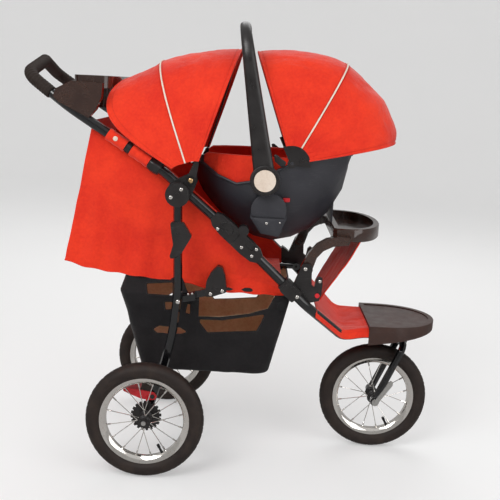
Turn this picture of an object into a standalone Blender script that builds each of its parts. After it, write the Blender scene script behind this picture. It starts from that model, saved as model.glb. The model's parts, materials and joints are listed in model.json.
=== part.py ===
"""Travel system pram: three-wheel pushchair with an infant carrier on it.

Metres, +Z up, +X to the front, +Y to the left side. The origin is on the ground under the middle of the box.
"""

import math

import bmesh
import bpy
from mathutils import Matrix, Vector

# Driving dimensions
GAP = 0.0003  # between pieces that touch
RUNNING_GAP = 0.0005  # between pieces that turn on each other

# Wheels
WHEEL_RADIUS = 0.1525
TYRE_WIDTH = 0.046
RIM_RADIUS = 0.115
RIM_INNER_RADIUS = 0.100
RIM_WIDTH = 0.030
SPOKE_COUNT = 16
SPOKE_RADIUS = 0.0017
HUB_FLANGE_RADIUS = 0.018
HUB_BARREL_RADIUS = 0.011
WHEEL_STEPS = 32
REAR_AXLE_X = -0.213
REAR_WHEEL_Y = 0.270
FRONT_AXLE_X = 0.4085
AXLE_Z = WHEEL_RADIUS
REAR_AXLE_RADIUS = 0.006
FRONT_AXLE_RADIUS = 0.005
BRAKE_DISC_RADIUS = 0.040
BRAKE_DISC_THICKNESS = 0.005
BRAKE_TEETH = 20

# Frame tubes, as points in the side view (x, z)
TUBE_RADIUS = 0.0125
TUBE_Y = 0.215
HOUSING_CENTRE = Vector((-0.001, 0.6315))
UPPER_BEND = Vector((-0.191, 0.787))
UPPER_REAR = Vector((-0.430, 0.9325))
HANDLE_CORNER = Vector((-0.5454, 1.010))
HANDLE_MIDDLE = Vector((-0.5419, 1.0455))
HANDLE_CORNER_Y = 0.165
UPPER_REAR_Y = 0.205
CONNECTOR_CENTRE = Vector((0.144, 0.501))
LOWER_BEND = Vector((0.204, 0.445))
CALF_BEND = Vector((0.295, 0.3615))
CALF_BEND_Y = 0.130
FOOT_TUBE_X = 0.352
FOOT_TUBE_Y = 0.108
FRONT_CROSS_X = 0.440
GRIP_RADIUS = 0.0165

# Fold joint
FOLD_OFFSET = 0.024  # the hinge sits this far above the tubes' line
FOLD_ANGLE = math.radians(-41.0)
HOUSING_LENGTH = 0.080
HOUSING_HALF_HEIGHT = 0.0235
HOUSING_HALF_WIDTH = 0.0143
KNUCKLE_RADIUS = 0.014
KNUCKLE_HALF_WIDTH = 0.005
HINGE_PIN_RADIUS = 0.004
SLIDER_TRAVEL = 0.006
UPPER_TUBE_START = 0.0535  # how far the tubes' ends stay from the middle of the fold joint
LOWER_TUBE_START = 0.0555
BUTTON_TRAVEL = 0.003

# Rear leg, side link and brake
LEG_PIVOT = Vector((-0.152, 0.736))
LEG_RADIUS = 0.0113
LEG_Y = 0.2412
LEG_FOOT_Y = 0.2225
LEG_EYE_RADIUS = 0.0145
LEG_PIN_RADIUS = 0.0055
LINK_PIVOT = Vector((0.174, 0.484))
LINK_HOUSING = Vector((-0.050, 0.484))
LINK_LEG_PIN = Vector((-0.141, 0.461))
LINK_RADIUS = 0.008
LINK_Y = 0.160
BRAKE_PIVOT = Vector((-0.199, 0.2035))

# Canopies
CANOPY_PIVOT = Vector((-0.122, 0.771))
CANOPY_WALL = 0.003
BOW_RADIUS = 0.003

# Front end
STEER_X = 0.479
FORK_Y = 0.046
FORK_RADIUS = 0.0105
FORK_CROWN_Z = 0.3165
STEM_RADIUS = 0.009
FOOTREST_CEILING_Z = 0.3785
FOOTREST_TOP_Z = 0.3915
FOOTREST_REAR_X = 0.366
FOOTREST_NOSE_X = 0.5605
FOOTREST_HALF_WIDTH = 0.128
SWIVEL_HEAD_BOTTOM_Z = 0.3335

# Trays
TRAY_PIVOT = Vector((0.1815, 0.556))
TRAY_HALF_WIDTH = 0.172
TRAY_REAR_X = 0.246
TRAY_NOSE_X = 0.384
TRAY_BOTTOM_Z = 0.626
TRAY_TOP_Z = 0.660
TRAY_ARM_Y = 0.188
TRAY_ARM_HALF_WIDTH = 0.0098
CONSOLE_REAR_X = -0.432
CONSOLE_FRONT_X = -0.334
CONSOLE_TOP_Z = 1.013
CONSOLE_HALF_WIDTH = 0.172
CUP_Y = 0.118

# Carrier
CARRIER_HUB = Vector((0.062, 0.778))
HANDLE_TOP = Vector((-0.0075, 1.154))
UP = Vector((0, 0, 1))
# The rib under the carrier's front, which stands just over the child tray's rear edge
FOOT_X = 0.2480
FOOT_DEPTH = 0.005
FOOT_CLEARANCE = 0.0008
CARRIER_WALL = 0.006
LINER_THICKNESS = 0.018
LINER_RISE = 0.036
CARRIER_HUB_RADIUS = 0.038
CARRIER_ARM_Y = 0.2112
CARRIER_CANOPY_PIVOT = Vector((0.128, 0.822))

SMALL = 0.000001

PARTS = None
BODIES = {}


def start_scene():
    """An empty scene with one collection for the pram."""
    global PARTS
    for old in list(bpy.data.objects):
        bpy.data.objects.remove(old, do_unlink=True)
    PARTS = bpy.data.collections.new("travel_system_pram")
    bpy.context.scene.collection.children.link(PARTS)


def material(name, colour, roughness, metallic=0.0):
    """A Principled material with a plain colour."""
    made = bpy.data.materials.new(name)
    made.use_nodes = True
    shader = made.node_tree.nodes["Principled BSDF"]
    shader.inputs["Base Color"].default_value = (*colour, 1.0)
    shader.inputs["Roughness"].default_value = roughness
    shader.inputs["Metallic"].default_value = metallic
    return made


def new_object(name, mesh):
    """An object of the pram's collection."""
    made = bpy.data.objects.new(name, mesh)
    PARTS.objects.link(made)
    return made


def from_bmesh(name, bm):
    """An object from a bmesh, its faces turned outwards."""
    bmesh.ops.recalc_face_normals(bm, faces=bm.faces)
    mesh = bpy.data.meshes.new(name)
    bm.to_mesh(mesh)
    bm.free()
    return new_object(name, mesh)


def baked(obj):
    """The object with its modifiers applied and its doubles merged, as a mesh in world space."""
    graph = bpy.context.evaluated_depsgraph_get()
    mesh = bpy.data.meshes.new_from_object(obj.evaluated_get(graph))
    mesh.transform(obj.matrix_world)
    bm = bmesh.new()
    bm.from_mesh(mesh)
    bmesh.ops.remove_doubles(bm, verts=bm.verts, dist=SMALL)
    name = obj.name
    bpy.data.objects.remove(obj, do_unlink=True)
    return from_bmesh(name, bm)


def combined(target, others, operation):
    """The target after a Boolean with each of the others, which are used up."""
    for other in others:
        step = target.modifiers.new(operation.lower(), "BOOLEAN")
        step.operation = operation
        step.solver = "EXACT"
        step.object = other
        target = baked(target)
        bpy.data.objects.remove(other, do_unlink=True)
    return target


def joined(target, *others):
    """The union of closed shapes."""
    return combined(target, others, "UNION")


def cut(target, *cutters):
    """The target less the cutters."""
    return combined(target, cutters, "DIFFERENCE")


def box(name, low, high):
    """A box between two corners."""
    bm = bmesh.new()
    bmesh.ops.create_cube(bm, size=1.0)
    low, high = Vector(low), Vector(high)
    for vertex in bm.verts:
        vertex.co = Vector(((low[i] + high[i]) / 2 + vertex.co[i] * (high[i] - low[i])) for i in range(3))
    return from_bmesh(name, bm)


def round_edges(obj, width, segments=2, angle=math.radians(50)):
    """The object with its sharp edges rounded."""
    step = obj.modifiers.new("round", "BEVEL")
    step.width = width
    step.segments = segments
    step.limit_method = "ANGLE"
    step.angle_limit = angle
    step.use_clamp_overlap = True
    return baked(obj)


def turning(axis):
    """The matrix that turns +Z onto an axis."""
    return Vector((0, 0, 1)).rotation_difference(Vector(axis).normalized()).to_matrix().to_4x4()


def rod(name, start, end, radius, segments=16, end_radius=None):
    """A closed cylinder or cone between two points."""
    start, end = Vector(start), Vector(end)
    bm = bmesh.new()
    bmesh.ops.create_cone(
        bm,
        cap_ends=True,
        segments=segments,
        radius1=radius,
        radius2=radius if end_radius is None else end_radius,
        depth=(end - start).length,
    )
    bm.transform(Matrix.Translation((start + end) / 2) @ turning(end - start))
    return from_bmesh(name, bm)


def cross_rod(name, place, y_low, y_high, radius, segments=16):
    """A cylinder along Y at a place in the side view."""
    return rod(name, (place[0], y_low, place[1]), (place[0], y_high, place[1]), radius, segments)


def turned(name, profile, centre, axis, steps):
    """A closed profile of (radius, height) turned about an axis through the centre."""
    mesh = bpy.data.meshes.new(name)
    count = len(profile)
    mesh.from_pydata([(r, 0, h) for r, h in profile], [(i, (i + 1) % count) for i in range(count)], [])
    obj = new_object(name, mesh)
    step = obj.modifiers.new("turn", "SCREW")
    step.axis = "Z"
    step.angle = math.tau
    step.steps = steps
    step.render_steps = steps
    step.use_merge_vertices = True
    step.merge_threshold = SMALL
    obj = baked(obj)
    obj.data.transform(Matrix.Translation(centre) @ turning(axis))
    return obj


def arc(centre, radius, start, end, steps):
    """Points on an arc in the side view, angles in degrees from +X towards +Z."""
    return [
        Vector(
            (
                centre[0] + radius * math.cos(math.radians(start + (end - start) * i / steps)),
                centre[1] + radius * math.sin(math.radians(start + (end - start) * i / steps)),
            )
        )
        for i in range(steps + 1)
    ]


def bent(corners, radii, steps=3):
    """The points of a path through corners, each rounded with its radius."""
    corners = [Vector(c) for c in corners]
    path = [corners[0]]
    for before, corner, after, radius in zip(corners, corners[1:], corners[2:], radii):
        back = (before - corner).normalized()
        ahead = (after - corner).normalized()
        half = back.angle(ahead) / 2
        reach = radius / math.tan(half)
        centre = corner + (back + ahead).normalized() * radius / math.sin(half)
        first = corner + back * reach - centre
        last = corner + ahead * reach - centre
        turn = first.angle(last)
        for i in range(steps + 1):
            t = i / steps
            across = math.sin((1 - t) * turn) * first + math.sin(t * turn) * last
            path.append(centre + across / math.sin(turn))
    path.append(corners[-1])
    return path


def tube(name, path, radius, resolution=3):
    """A round tube along a path, with closed ends. Its sides number 4 + 2 * resolution."""
    curve = bpy.data.curves.new(name, "CURVE")
    curve.dimensions = "3D"
    curve.bevel_depth = radius
    curve.bevel_resolution = resolution
    curve.use_fill_caps = True
    spline = curve.splines.new("POLY")
    spline.points.add(len(path) - 1)
    for point, place in zip(spline.points, path):
        point.co = (*place, 1.0)
    return baked(new_object(name, curve))


def flat_outline(name, points, thickness):
    """A flat outline in XY, given its thickness about z = 0."""
    curve = bpy.data.curves.new(name, "CURVE")
    curve.dimensions = "2D"
    curve.fill_mode = "BOTH"
    curve.extrude = thickness / 2
    spline = curve.splines.new("POLY")
    spline.points.add(len(points) - 1)
    for point, place in zip(spline.points, points):
        point.co = (place[0], place[1], 0, 1.0)
    spline.use_cyclic_u = True
    return baked(new_object(name, curve))


def side_plate(name, points, y_low, y_high):
    """An outline in the side view (x, z), solid from y_low to y_high."""
    obj = flat_outline(name, points, abs(y_high - y_low))
    turn = Matrix(((1, 0, 0, 0), (0, 0, -1, (y_low + y_high) / 2), (0, 1, 0, 0), (0, 0, 0, 1)))
    obj.data.transform(turn)
    return obj


def plan_plate(name, points, z_low, z_high):
    """An outline in the plan view (x, y), solid from z_low to z_high."""
    obj = flat_outline(name, points, z_high - z_low)
    obj.data.transform(Matrix.Translation((0, 0, (z_low + z_high) / 2)))
    return obj


def rounded(points, radius, steps=3):
    """A closed outline with each corner rounded."""
    made = []
    count = len(points)
    for i in range(count):
        trio = [Vector(points[(i + k) % count]) for k in (-1, 0, 1)]
        size = radius[i] if isinstance(radius, (list, tuple)) else radius
        made += [Vector(p) for p in bent(trio, [size], steps)[1:-1]]
    return made


def patch(bm, a, b, c, d):
    """A face with four corners, split in two where it isn't flat."""
    normal = (b.co - a.co).cross(c.co - a.co)
    off = abs(normal.dot(d.co - a.co))
    if normal.length and off / normal.length < 0.0000002:
        bm.faces.new((a, b, c, d))
        return
    bm.faces.new((a, b, c))
    bm.faces.new((a, c, d))


def lofted(name, rings):
    """A closed solid through rings of points, its ends capped."""
    bm = bmesh.new()
    made = [[bm.verts.new(p) for p in ring] for ring in rings]
    count = len(made[0])
    for ring, other in zip(made, made[1:]):
        for i in range(count):
            k = (i + 1) % count
            patch(bm, ring[i], ring[k], other[k], other[i])
    bm.faces.new(made[0])
    bm.faces.new(made[-1])
    return from_bmesh(name, bm)


def mirrored(obj, name):
    """A copy of a left-hand piece for the right-hand side."""
    mesh = obj.data.copy()
    mesh.name = name
    mesh.transform(Matrix.Scale(-1, 4, Vector((0, 1, 0))))
    mesh.flip_normals()
    return new_object(name, mesh)


def renamed(obj, name):
    """The object under its final name."""
    obj.name = name
    obj.data.name = name
    return obj


def body(name, place, parent=None):
    """An empty on a body's joint axis, which carries the body's pieces."""
    empty = bpy.data.objects.new(name + "_body", None)
    empty.empty_display_size = 0.05
    PARTS.objects.link(empty)
    empty.location = place
    if parent:
        empty.parent = BODIES[parent]
        empty.location = Vector(place) - world_place(BODIES[parent])
    BODIES[name] = empty


def world_place(empty):
    """Where an empty stands in the world."""
    place = empty.location.copy()
    while empty.parent:
        empty = empty.parent
        place += empty.location
    return place


def carried(obj, body_name, finish):
    """The piece on its body: origin on the joint's axis, shaded smooth, with its material."""
    place = world_place(BODIES[body_name])
    obj.data.transform(Matrix.Translation(-place))
    obj.parent = BODIES[body_name]
    obj.location = (0, 0, 0)
    obj.data.materials.clear()
    obj.data.materials.append(finish)
    obj.data.shade_smooth()
    obj.data.set_sharp_from_angle(angle=math.radians(35))
    return obj


def pair(obj, stem, left_body, right_body, finish):
    """A left-hand piece and its mirrored copy, each on its own body."""
    renamed(obj, stem + "_left")
    other = mirrored(obj, stem + "_right")
    carried(obj, left_body, finish)
    carried(other, right_body, finish)


# Places worked out from the driving dimensions


def at(place, y):
    """A point of the side view at a distance from the middle plane."""
    return Vector((place[0], y, place[1]))


FOLD_ALONG = Vector((math.cos(FOLD_ANGLE), math.sin(FOLD_ANGLE)))
FOLD_ACROSS = Vector((-FOLD_ALONG[1], FOLD_ALONG[0]))
FOLD_PIVOT = HOUSING_CENTRE + FOLD_ACROSS * FOLD_OFFSET
FOOT_TUBE_Z = FOOTREST_CEILING_Z - GAP - TUBE_RADIUS
REAR_AXLE = Vector((REAR_AXLE_X, AXLE_Z))
FRONT_AXLE = Vector((FRONT_AXLE_X, AXLE_Z))


def on_fold(along, across):
    """A point of the side view in the fold joint's own directions."""
    return HOUSING_CENTRE + FOLD_ALONG * along + FOLD_ACROSS * across


def upper_path(y_sign=1, extra=0.0):
    """The upper tube from the fold joint to the middle of the push handle."""
    first = HOUSING_CENTRE + (UPPER_BEND - HOUSING_CENTRE).normalized() * (UPPER_TUBE_START - extra)
    corners = [
        at(first, TUBE_Y),
        at(UPPER_BEND, TUBE_Y),
        at(UPPER_REAR, UPPER_REAR_Y),
        at(HANDLE_CORNER, HANDLE_CORNER_Y),
        at(HANDLE_MIDDLE, 0),
    ]
    return [Vector((p[0], p[1] * y_sign, p[2])) for p in bent(corners, [0.15, 0.2, 0.055])]


def whole_upper_path():
    """The upper tube from the left fold joint round the handle to the right one."""
    left = upper_path()
    right = upper_path(-1)
    return left[:-1] + [left[-1]] + right[-2::-1]


def lower_path(y_sign=1, extra=0.0):
    """The lower tube from the fold joint to its front cross run."""
    first = HOUSING_CENTRE + (CONNECTOR_CENTRE - HOUSING_CENTRE).normalized() * (LOWER_TUBE_START - extra)
    corners = [
        at(first, TUBE_Y),
        at(LOWER_BEND - (LOWER_BEND - CONNECTOR_CENTRE) * 0.3, TUBE_Y),
        at(CALF_BEND, CALF_BEND_Y),
        Vector((FOOT_TUBE_X, FOOT_TUBE_Y, FOOT_TUBE_Z)),
        Vector((FRONT_CROSS_X, FOOT_TUBE_Y, FOOT_TUBE_Z)),
        Vector((FRONT_CROSS_X, 0, FOOT_TUBE_Z)),
    ]
    return [Vector((p[0], p[1] * y_sign, p[2])) for p in bent(corners, [0.06, 0.05, 0.08, 0.045])]


def whole_lower_path():
    """The lower tube from the left fold joint round the front to the right one."""
    return lower_path() + lower_path(-1)[-2::-1]


# Finishes


def make_finishes():
    """Every finish of the pram by name."""
    return {
        "tube": material("tube_paint", (0.012, 0.012, 0.014), 0.22, 0.3),
        "plastic": material("dark_plastic", (0.045, 0.045, 0.055), 0.42),
        "tray": material("tray_plastic", (0.055, 0.028, 0.016), 0.18),
        "footrest": material("footrest_plastic", (0.05, 0.02, 0.012), 0.5),
        "foam": material("grip_foam", (0.03, 0.025, 0.022), 0.85),
        "tyre": material("tyre_rubber", (0.035, 0.025, 0.022), 0.7),
        "chrome": material("chrome", (0.8, 0.78, 0.75), 0.08, 1.0),
        "steel": material("zinc_steel", (0.6, 0.6, 0.6), 0.3, 1.0),
        "red_plastic": material("red_plastic", (0.75, 0.02, 0.03), 0.35),
        "fabric": material("red_fabric", (0.9, 0.05, 0.02), 0.8),
        "dark_fabric": material("black_fabric", (0.02, 0.018, 0.018), 0.9),
        "pale": material("pale_plastic", (0.85, 0.8, 0.74), 0.4),
    }


# Wheels


def make_tyre(name, y):
    """A tyre on the rim: an oval section, flat where the rim holds it."""
    seat = RIM_RADIUS + GAP
    half = TYRE_WIDTH / 2
    middle = (WHEEL_RADIUS + seat) / 2
    depth = (WHEEL_RADIUS - seat) / 2
    bead = RIM_WIDTH / 2
    profile = [(seat, -bead), (seat, bead)]
    for degrees in (125, 80, 45, 0, -45, -80, -125):
        angle = math.radians(degrees)
        profile.append((middle + depth * math.cos(angle), half * math.sin(angle)))
    return turned(name, profile, (0, y, 0), (0, 1, 0), WHEEL_STEPS)


def make_rim(name, y, hub_flange_y):
    """A rim with its spokes, which end at the hub's flanges."""
    half = RIM_WIDTH / 2
    well = 0.0075
    shoulder = (RIM_RADIUS + RIM_INNER_RADIUS) / 2 + 0.001
    profile = [
        (RIM_RADIUS, -half),
        (RIM_RADIUS, half),
        (shoulder, half - 0.001),
        (RIM_INNER_RADIUS, well),
        (RIM_INNER_RADIUS, -well),
        (shoulder, -half + 0.001),
    ]
    rim = turned(name, profile, (0, y, 0), (0, 1, 0), WHEEL_STEPS)
    spokes = []
    for i in range(SPOKE_COUNT):
        angle = math.tau * (i + 0.5) / SPOKE_COUNT
        side = 1 if i % 2 else -1
        inner = HUB_FLANGE_RADIUS + GAP * 2
        outer = RIM_INNER_RADIUS + 0.004
        start = (inner * math.cos(angle), y + side * hub_flange_y, inner * math.sin(angle))
        end = (outer * math.cos(angle), y + side * 0.001, outer * math.sin(angle))
        spokes.append(rod(f"spoke_{i}", start, end, SPOKE_RADIUS, 4))
    return joined(rim, *spokes)


def make_hub(name, y, half_length, flange_y, bore):
    """A hub: barrel, two flanges that hold the spokes, and a bore for the axle."""
    flange = 0.0035
    profile = [
        (HUB_FLANGE_RADIUS, y + flange_y),
        (HUB_BARREL_RADIUS, y + flange_y + flange),
        (HUB_BARREL_RADIUS, y + half_length),
        (bore, y + half_length),
        (bore, y - half_length),
        (HUB_BARREL_RADIUS, y - half_length),
        (HUB_BARREL_RADIUS, y - flange_y - flange),
        (HUB_FLANGE_RADIUS, y - flange_y),
        (HUB_BARREL_RADIUS, y - flange_y + flange),
        (HUB_BARREL_RADIUS, y + flange_y - flange),
    ]
    return turned(name, profile, (0, 0, 0), (0, 1, 0), 14)


def brake_disc(name, y):
    """A disc with square teeth on its edge."""
    points = []
    root = BRAKE_DISC_RADIUS - 0.005
    for i in range(BRAKE_TEETH):
        tooth = ((-0.34, root), (-0.22, BRAKE_DISC_RADIUS), (0.22, BRAKE_DISC_RADIUS), (0.34, root))
        for share, radius in tooth:
            # a gap between two teeth stands just ahead of the top, where the brake's pawl drops in
            angle = math.pi / 2 + math.tau * (i + 0.31 + share) / BRAKE_TEETH
            points.append((radius * math.cos(angle), radius * math.sin(angle)))
    half = BRAKE_DISC_THICKNESS / 2
    return side_plate(name, points, y - half, y + half)


REAR_HUB_HALF = 0.0275
REAR_FLANGE_Y = 0.017
BRAKE_DISC_Y = 0.2455
FRONT_HUB_HALF = 0.034
FRONT_FLANGE_Y = 0.022


def moved(obj, offset):
    """The object's mesh moved by an offset."""
    obj.data.transform(Matrix.Translation(offset))
    return obj


def make_rear_wheels(finishes):
    """Both rear wheels: tyre, rim with spokes, and hub with the toothed disc."""
    place = (REAR_AXLE_X, 0, AXLE_Z)
    tyre = moved(make_tyre("tyre", REAR_WHEEL_Y), place)
    pair(tyre, "rear_tyre", "rear_wheel_left", "rear_wheel_right", finishes["tyre"])
    rim = moved(make_rim("rim", REAR_WHEEL_Y, REAR_FLANGE_Y), place)
    pair(rim, "rear_rim", "rear_wheel_left", "rear_wheel_right", finishes["chrome"])
    bore = REAR_AXLE_RADIUS + GAP
    hub = make_hub("hub", REAR_WHEEL_Y, REAR_HUB_HALF, REAR_FLANGE_Y, bore)
    disc = cut(brake_disc("disc", BRAKE_DISC_Y), rod("bore", (0, 0.23, 0), (0, 0.26, 0), bore + 0.001, 24))
    hub = joined(hub, disc)
    pair(moved(hub, place), "rear_hub", "rear_wheel_left", "rear_wheel_right", finishes["plastic"])


def make_front_wheel(finishes):
    """The front wheel on its axle."""
    place = (FRONT_AXLE_X, 0, AXLE_Z)
    tyre = moved(make_tyre("front_tyre", 0), place)
    carried(tyre, "front_wheel", finishes["tyre"])
    rim = moved(make_rim("front_rim", 0, FRONT_FLANGE_Y), place)
    carried(rim, "front_wheel", finishes["chrome"])
    hub = make_hub("front_hub", 0, FRONT_HUB_HALF, FRONT_FLANGE_Y, FRONT_AXLE_RADIUS + GAP)
    carried(moved(hub, place), "front_wheel", finishes["plastic"])


# Frame


def make_frame_tubes(finishes):
    """The upper tube with its foam sleeve, and the lower tube."""
    upper = tube("upper_frame_tube", whole_upper_path(), TUBE_RADIUS)
    carried(upper, "upper_frame", finishes["tube"])
    share = 0.42
    first = at(UPPER_REAR.lerp(HANDLE_CORNER, share), UPPER_REAR_Y + (HANDLE_CORNER_Y - UPPER_REAR_Y) * share)
    last = Vector((first[0], -first[1], first[2]))
    beyond = [p for p in whole_upper_path() if p[2] > first[2] + 0.01]
    grip = tube("handle_grip", [first] + beyond + [last], GRIP_RADIUS)
    grip = cut(grip, tube("bore", whole_upper_path(), TUBE_RADIUS + GAP))
    carried(grip, "upper_frame", finishes["foam"])
    lower = tube("lower_frame_tube", whole_lower_path(), TUBE_RADIUS)
    carried(lower, "lower_frame", finishes["tube"])


def housing_outline(sign):
    """Half of the fold housing in the side view: sign -1 is the upper half and 1 the lower half."""
    butt = GAP * sign
    far = HOUSING_LENGTH * sign
    top = HOUSING_HALF_HEIGHT - 0.003
    low = HOUSING_HALF_HEIGHT
    local = [(butt, top), (butt, -low), (far * 0.45, -low), (far * 0.82, -low * 0.86), (far, -low * 0.5)]
    local += [(far, top * 0.55), (far * 0.82, top * 0.9), (far * 0.45, top)]
    return [on_fold(*p) for p in local]


def slider_recess(extra, y_low, y_high, travel=0.0):
    """The ribbed latch's outline, grown by a margin, as a solid."""
    low, high = 0.026 - extra, 0.046 + extra + travel
    points = [(low, 0.001 - extra), (high, 0.001 - extra), (high, 0.017 + extra), (low, 0.017 + extra)]
    return side_plate("latch", [on_fold(*p) for p in points], y_low, y_high)


def button_outline(extra):
    """The D-shaped button in the upper half."""
    flat = -0.003 - extra
    points = [(-0.050 - extra, flat), (-0.018 + extra, flat)]
    centre = (-0.034, -0.003)
    for i in range(9):
        angle = math.radians(180 * i / 8)
        reach = (0.016 + extra) * math.cos(angle)
        points.append((centre[0] + reach, centre[1] + 0.002 + (0.0165 + extra) * math.sin(angle)))
    return [on_fold(*p) for p in points]


def make_fold_joints(finishes):
    """Fold housings, their D buttons and their ribbed latches."""
    inner, outer = TUBE_Y - HOUSING_HALF_WIDTH, TUBE_Y + HOUSING_HALF_WIDTH
    knuckle_low, knuckle_high = TUBE_Y - KNUCKLE_HALF_WIDTH, TUBE_Y + KNUCKLE_HALF_WIDTH
    clear = KNUCKLE_RADIUS + RUNNING_GAP
    button_floor = outer - 0.0075
    upper = side_plate("upper_half", housing_outline(-1), inner, outer)
    upper = joined(upper, cross_rod("knuckle", FOLD_PIVOT, knuckle_low, knuckle_high, KNUCKLE_RADIUS, 20))
    upper = cut(
        upper,
        cross_rod("clear_a", FOLD_PIVOT, inner - 0.01, knuckle_low - 0.0001, clear, 20),
        cross_rod("clear_b", FOLD_PIVOT, knuckle_high + 0.0001, outer + 0.01, clear, 20),
        cross_rod("pin_bore", FOLD_PIVOT, inner - 0.01, outer + 0.01, HINGE_PIN_RADIUS + GAP, 12),
        tube("bore", upper_path(1, GAP), TUBE_RADIUS + GAP),
        side_plate("button_hole", button_outline(GAP), button_floor, outer + 0.01),
    )
    pair(upper, "fold_housing_upper", "upper_frame", "upper_frame", finishes["plastic"])
    lower = side_plate("lower_half", housing_outline(1), inner, outer)
    lower = joined(
        lower,
        cross_rod("cheek_a", FOLD_PIVOT, inner, knuckle_low - RUNNING_GAP, KNUCKLE_RADIUS, 20),
        cross_rod("cheek_b", FOLD_PIVOT, knuckle_high + RUNNING_GAP, outer, KNUCKLE_RADIUS, 20),
    )
    lower = cut(
        lower,
        cross_rod("clear", FOLD_PIVOT, knuckle_low - RUNNING_GAP, knuckle_high + RUNNING_GAP, clear, 20),
        tube("bore", lower_path(1, GAP), TUBE_RADIUS + GAP),
        slider_recess(GAP, outer - 0.0045, outer + 0.01, SLIDER_TRAVEL),
    )
    lower = joined(lower, cross_rod("pin", FOLD_PIVOT, inner + 0.001, outer - 0.001, HINGE_PIN_RADIUS, 12))
    pair(lower, "fold_housing_lower", "lower_frame", "lower_frame", finishes["plastic"])
    button = side_plate("button", button_outline(0), button_floor + BUTTON_TRAVEL + GAP, outer - GAP)
    pair(button, "fold_button", "fold_button_left", "fold_button_right", finishes["plastic"])
    slider = slider_recess(0, outer - 0.0045 + GAP, outer - 0.0012)
    ribs = []
    for i in range(5):
        along = 0.0285 + 0.00375 * i
        points = [(along, 0.002), (along + 0.0016, 0.002), (along + 0.0016, 0.016), (along, 0.016)]
        ribs.append(side_plate(f"rib_{i}", [on_fold(*p) for p in points], outer - 0.003, outer - 0.0001))
    pair(joined(slider, *ribs), "fold_latch", "fold_latch_left", "fold_latch_right", finishes["plastic"])


def egg_outline(centre, radius, other, other_radius, steps=5):
    """An outline round two circles."""
    along = (Vector(other) - Vector(centre)).normalized()
    base = math.degrees(math.atan2(along[1], along[0]))
    tilt = math.degrees(math.asin((radius - other_radius) / (Vector(other) - Vector(centre)).length))
    points = arc(centre, radius, base + 90 - tilt, base + 270 + tilt, steps * 2)
    return points + arc(other, other_radius, base - 90 + tilt, base + 90 - tilt, steps)


PIVOT_BLOCK_INNER_Y = 0.2000
PIVOT_BLOCK_OUTER_Y = 0.2294
CHEEK_INNER_Y = LEG_Y + LEG_RADIUS + RUNNING_GAP
CHEEK_OUTER_Y = CHEEK_INNER_Y + 0.0045
CANOPY_PLATE_INNER_Y = PIVOT_BLOCK_OUTER_Y + GAP
CANOPY_PLATE_OUTER_Y = CANOPY_PLATE_INNER_Y + 0.0045


def make_pivot_housings(finishes):
    """The housings that clamp the upper tube and carry the rear leg and the canopy."""
    outline = egg_outline(LEG_PIVOT + Vector((0.002, 0.004)), 0.031, CANOPY_PIVOT, 0.016)
    block = side_plate("block", outline, PIVOT_BLOCK_INNER_Y, PIVOT_BLOCK_OUTER_Y)
    cheek = side_plate("cheek", arc(LEG_PIVOT, 0.0305, 0, 340, 17), CHEEK_INNER_Y, CHEEK_OUTER_Y)
    wall_points = arc(LEG_PIVOT, 0.0300, 70, 190, 5) + arc(LEG_PIVOT, 0.0260, 190, 70, 5)
    wall = side_plate("wall", wall_points, PIVOT_BLOCK_OUTER_Y - 0.001, CHEEK_INNER_Y + 0.001)
    pin = cross_rod("pin", LEG_PIVOT, PIVOT_BLOCK_OUTER_Y - 0.002, CHEEK_OUTER_Y + 0.002, LEG_PIN_RADIUS, 12)
    canopy_pin = cross_rod(
        "canopy_pin", CANOPY_PIVOT, PIVOT_BLOCK_OUTER_Y - 0.002, CANOPY_PLATE_OUTER_Y + 0.001, 0.004, 12
    )
    cap = cross_rod("cap", CANOPY_PIVOT, CANOPY_PLATE_OUTER_Y + GAP, CANOPY_PLATE_OUTER_Y + 0.004, 0.0095, 16)
    housing = cut(block, tube("bore", upper_path(), TUBE_RADIUS + GAP))
    housing = joined(housing, cheek, wall, pin, canopy_pin, cap)
    pair(housing, "leg_pivot_housing", "upper_frame", "upper_frame", finishes["plastic"])


def leg_path():
    """The left rear leg from its pivot to the axle."""
    corners = [
        at(LEG_PIVOT, LEG_Y),
        Vector((-0.147, LEG_Y, 0.600)),
        Vector((-0.1425, LEG_Y, 0.480)),
        Vector((-0.153, LEG_Y, 0.375)),
        Vector((-0.172, LEG_FOOT_Y + 0.002, 0.290)),
        at(REAR_AXLE, LEG_FOOT_Y),
    ]
    return bent(corners, [0.3, 0.3, 0.2, 0.2], 2)


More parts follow.
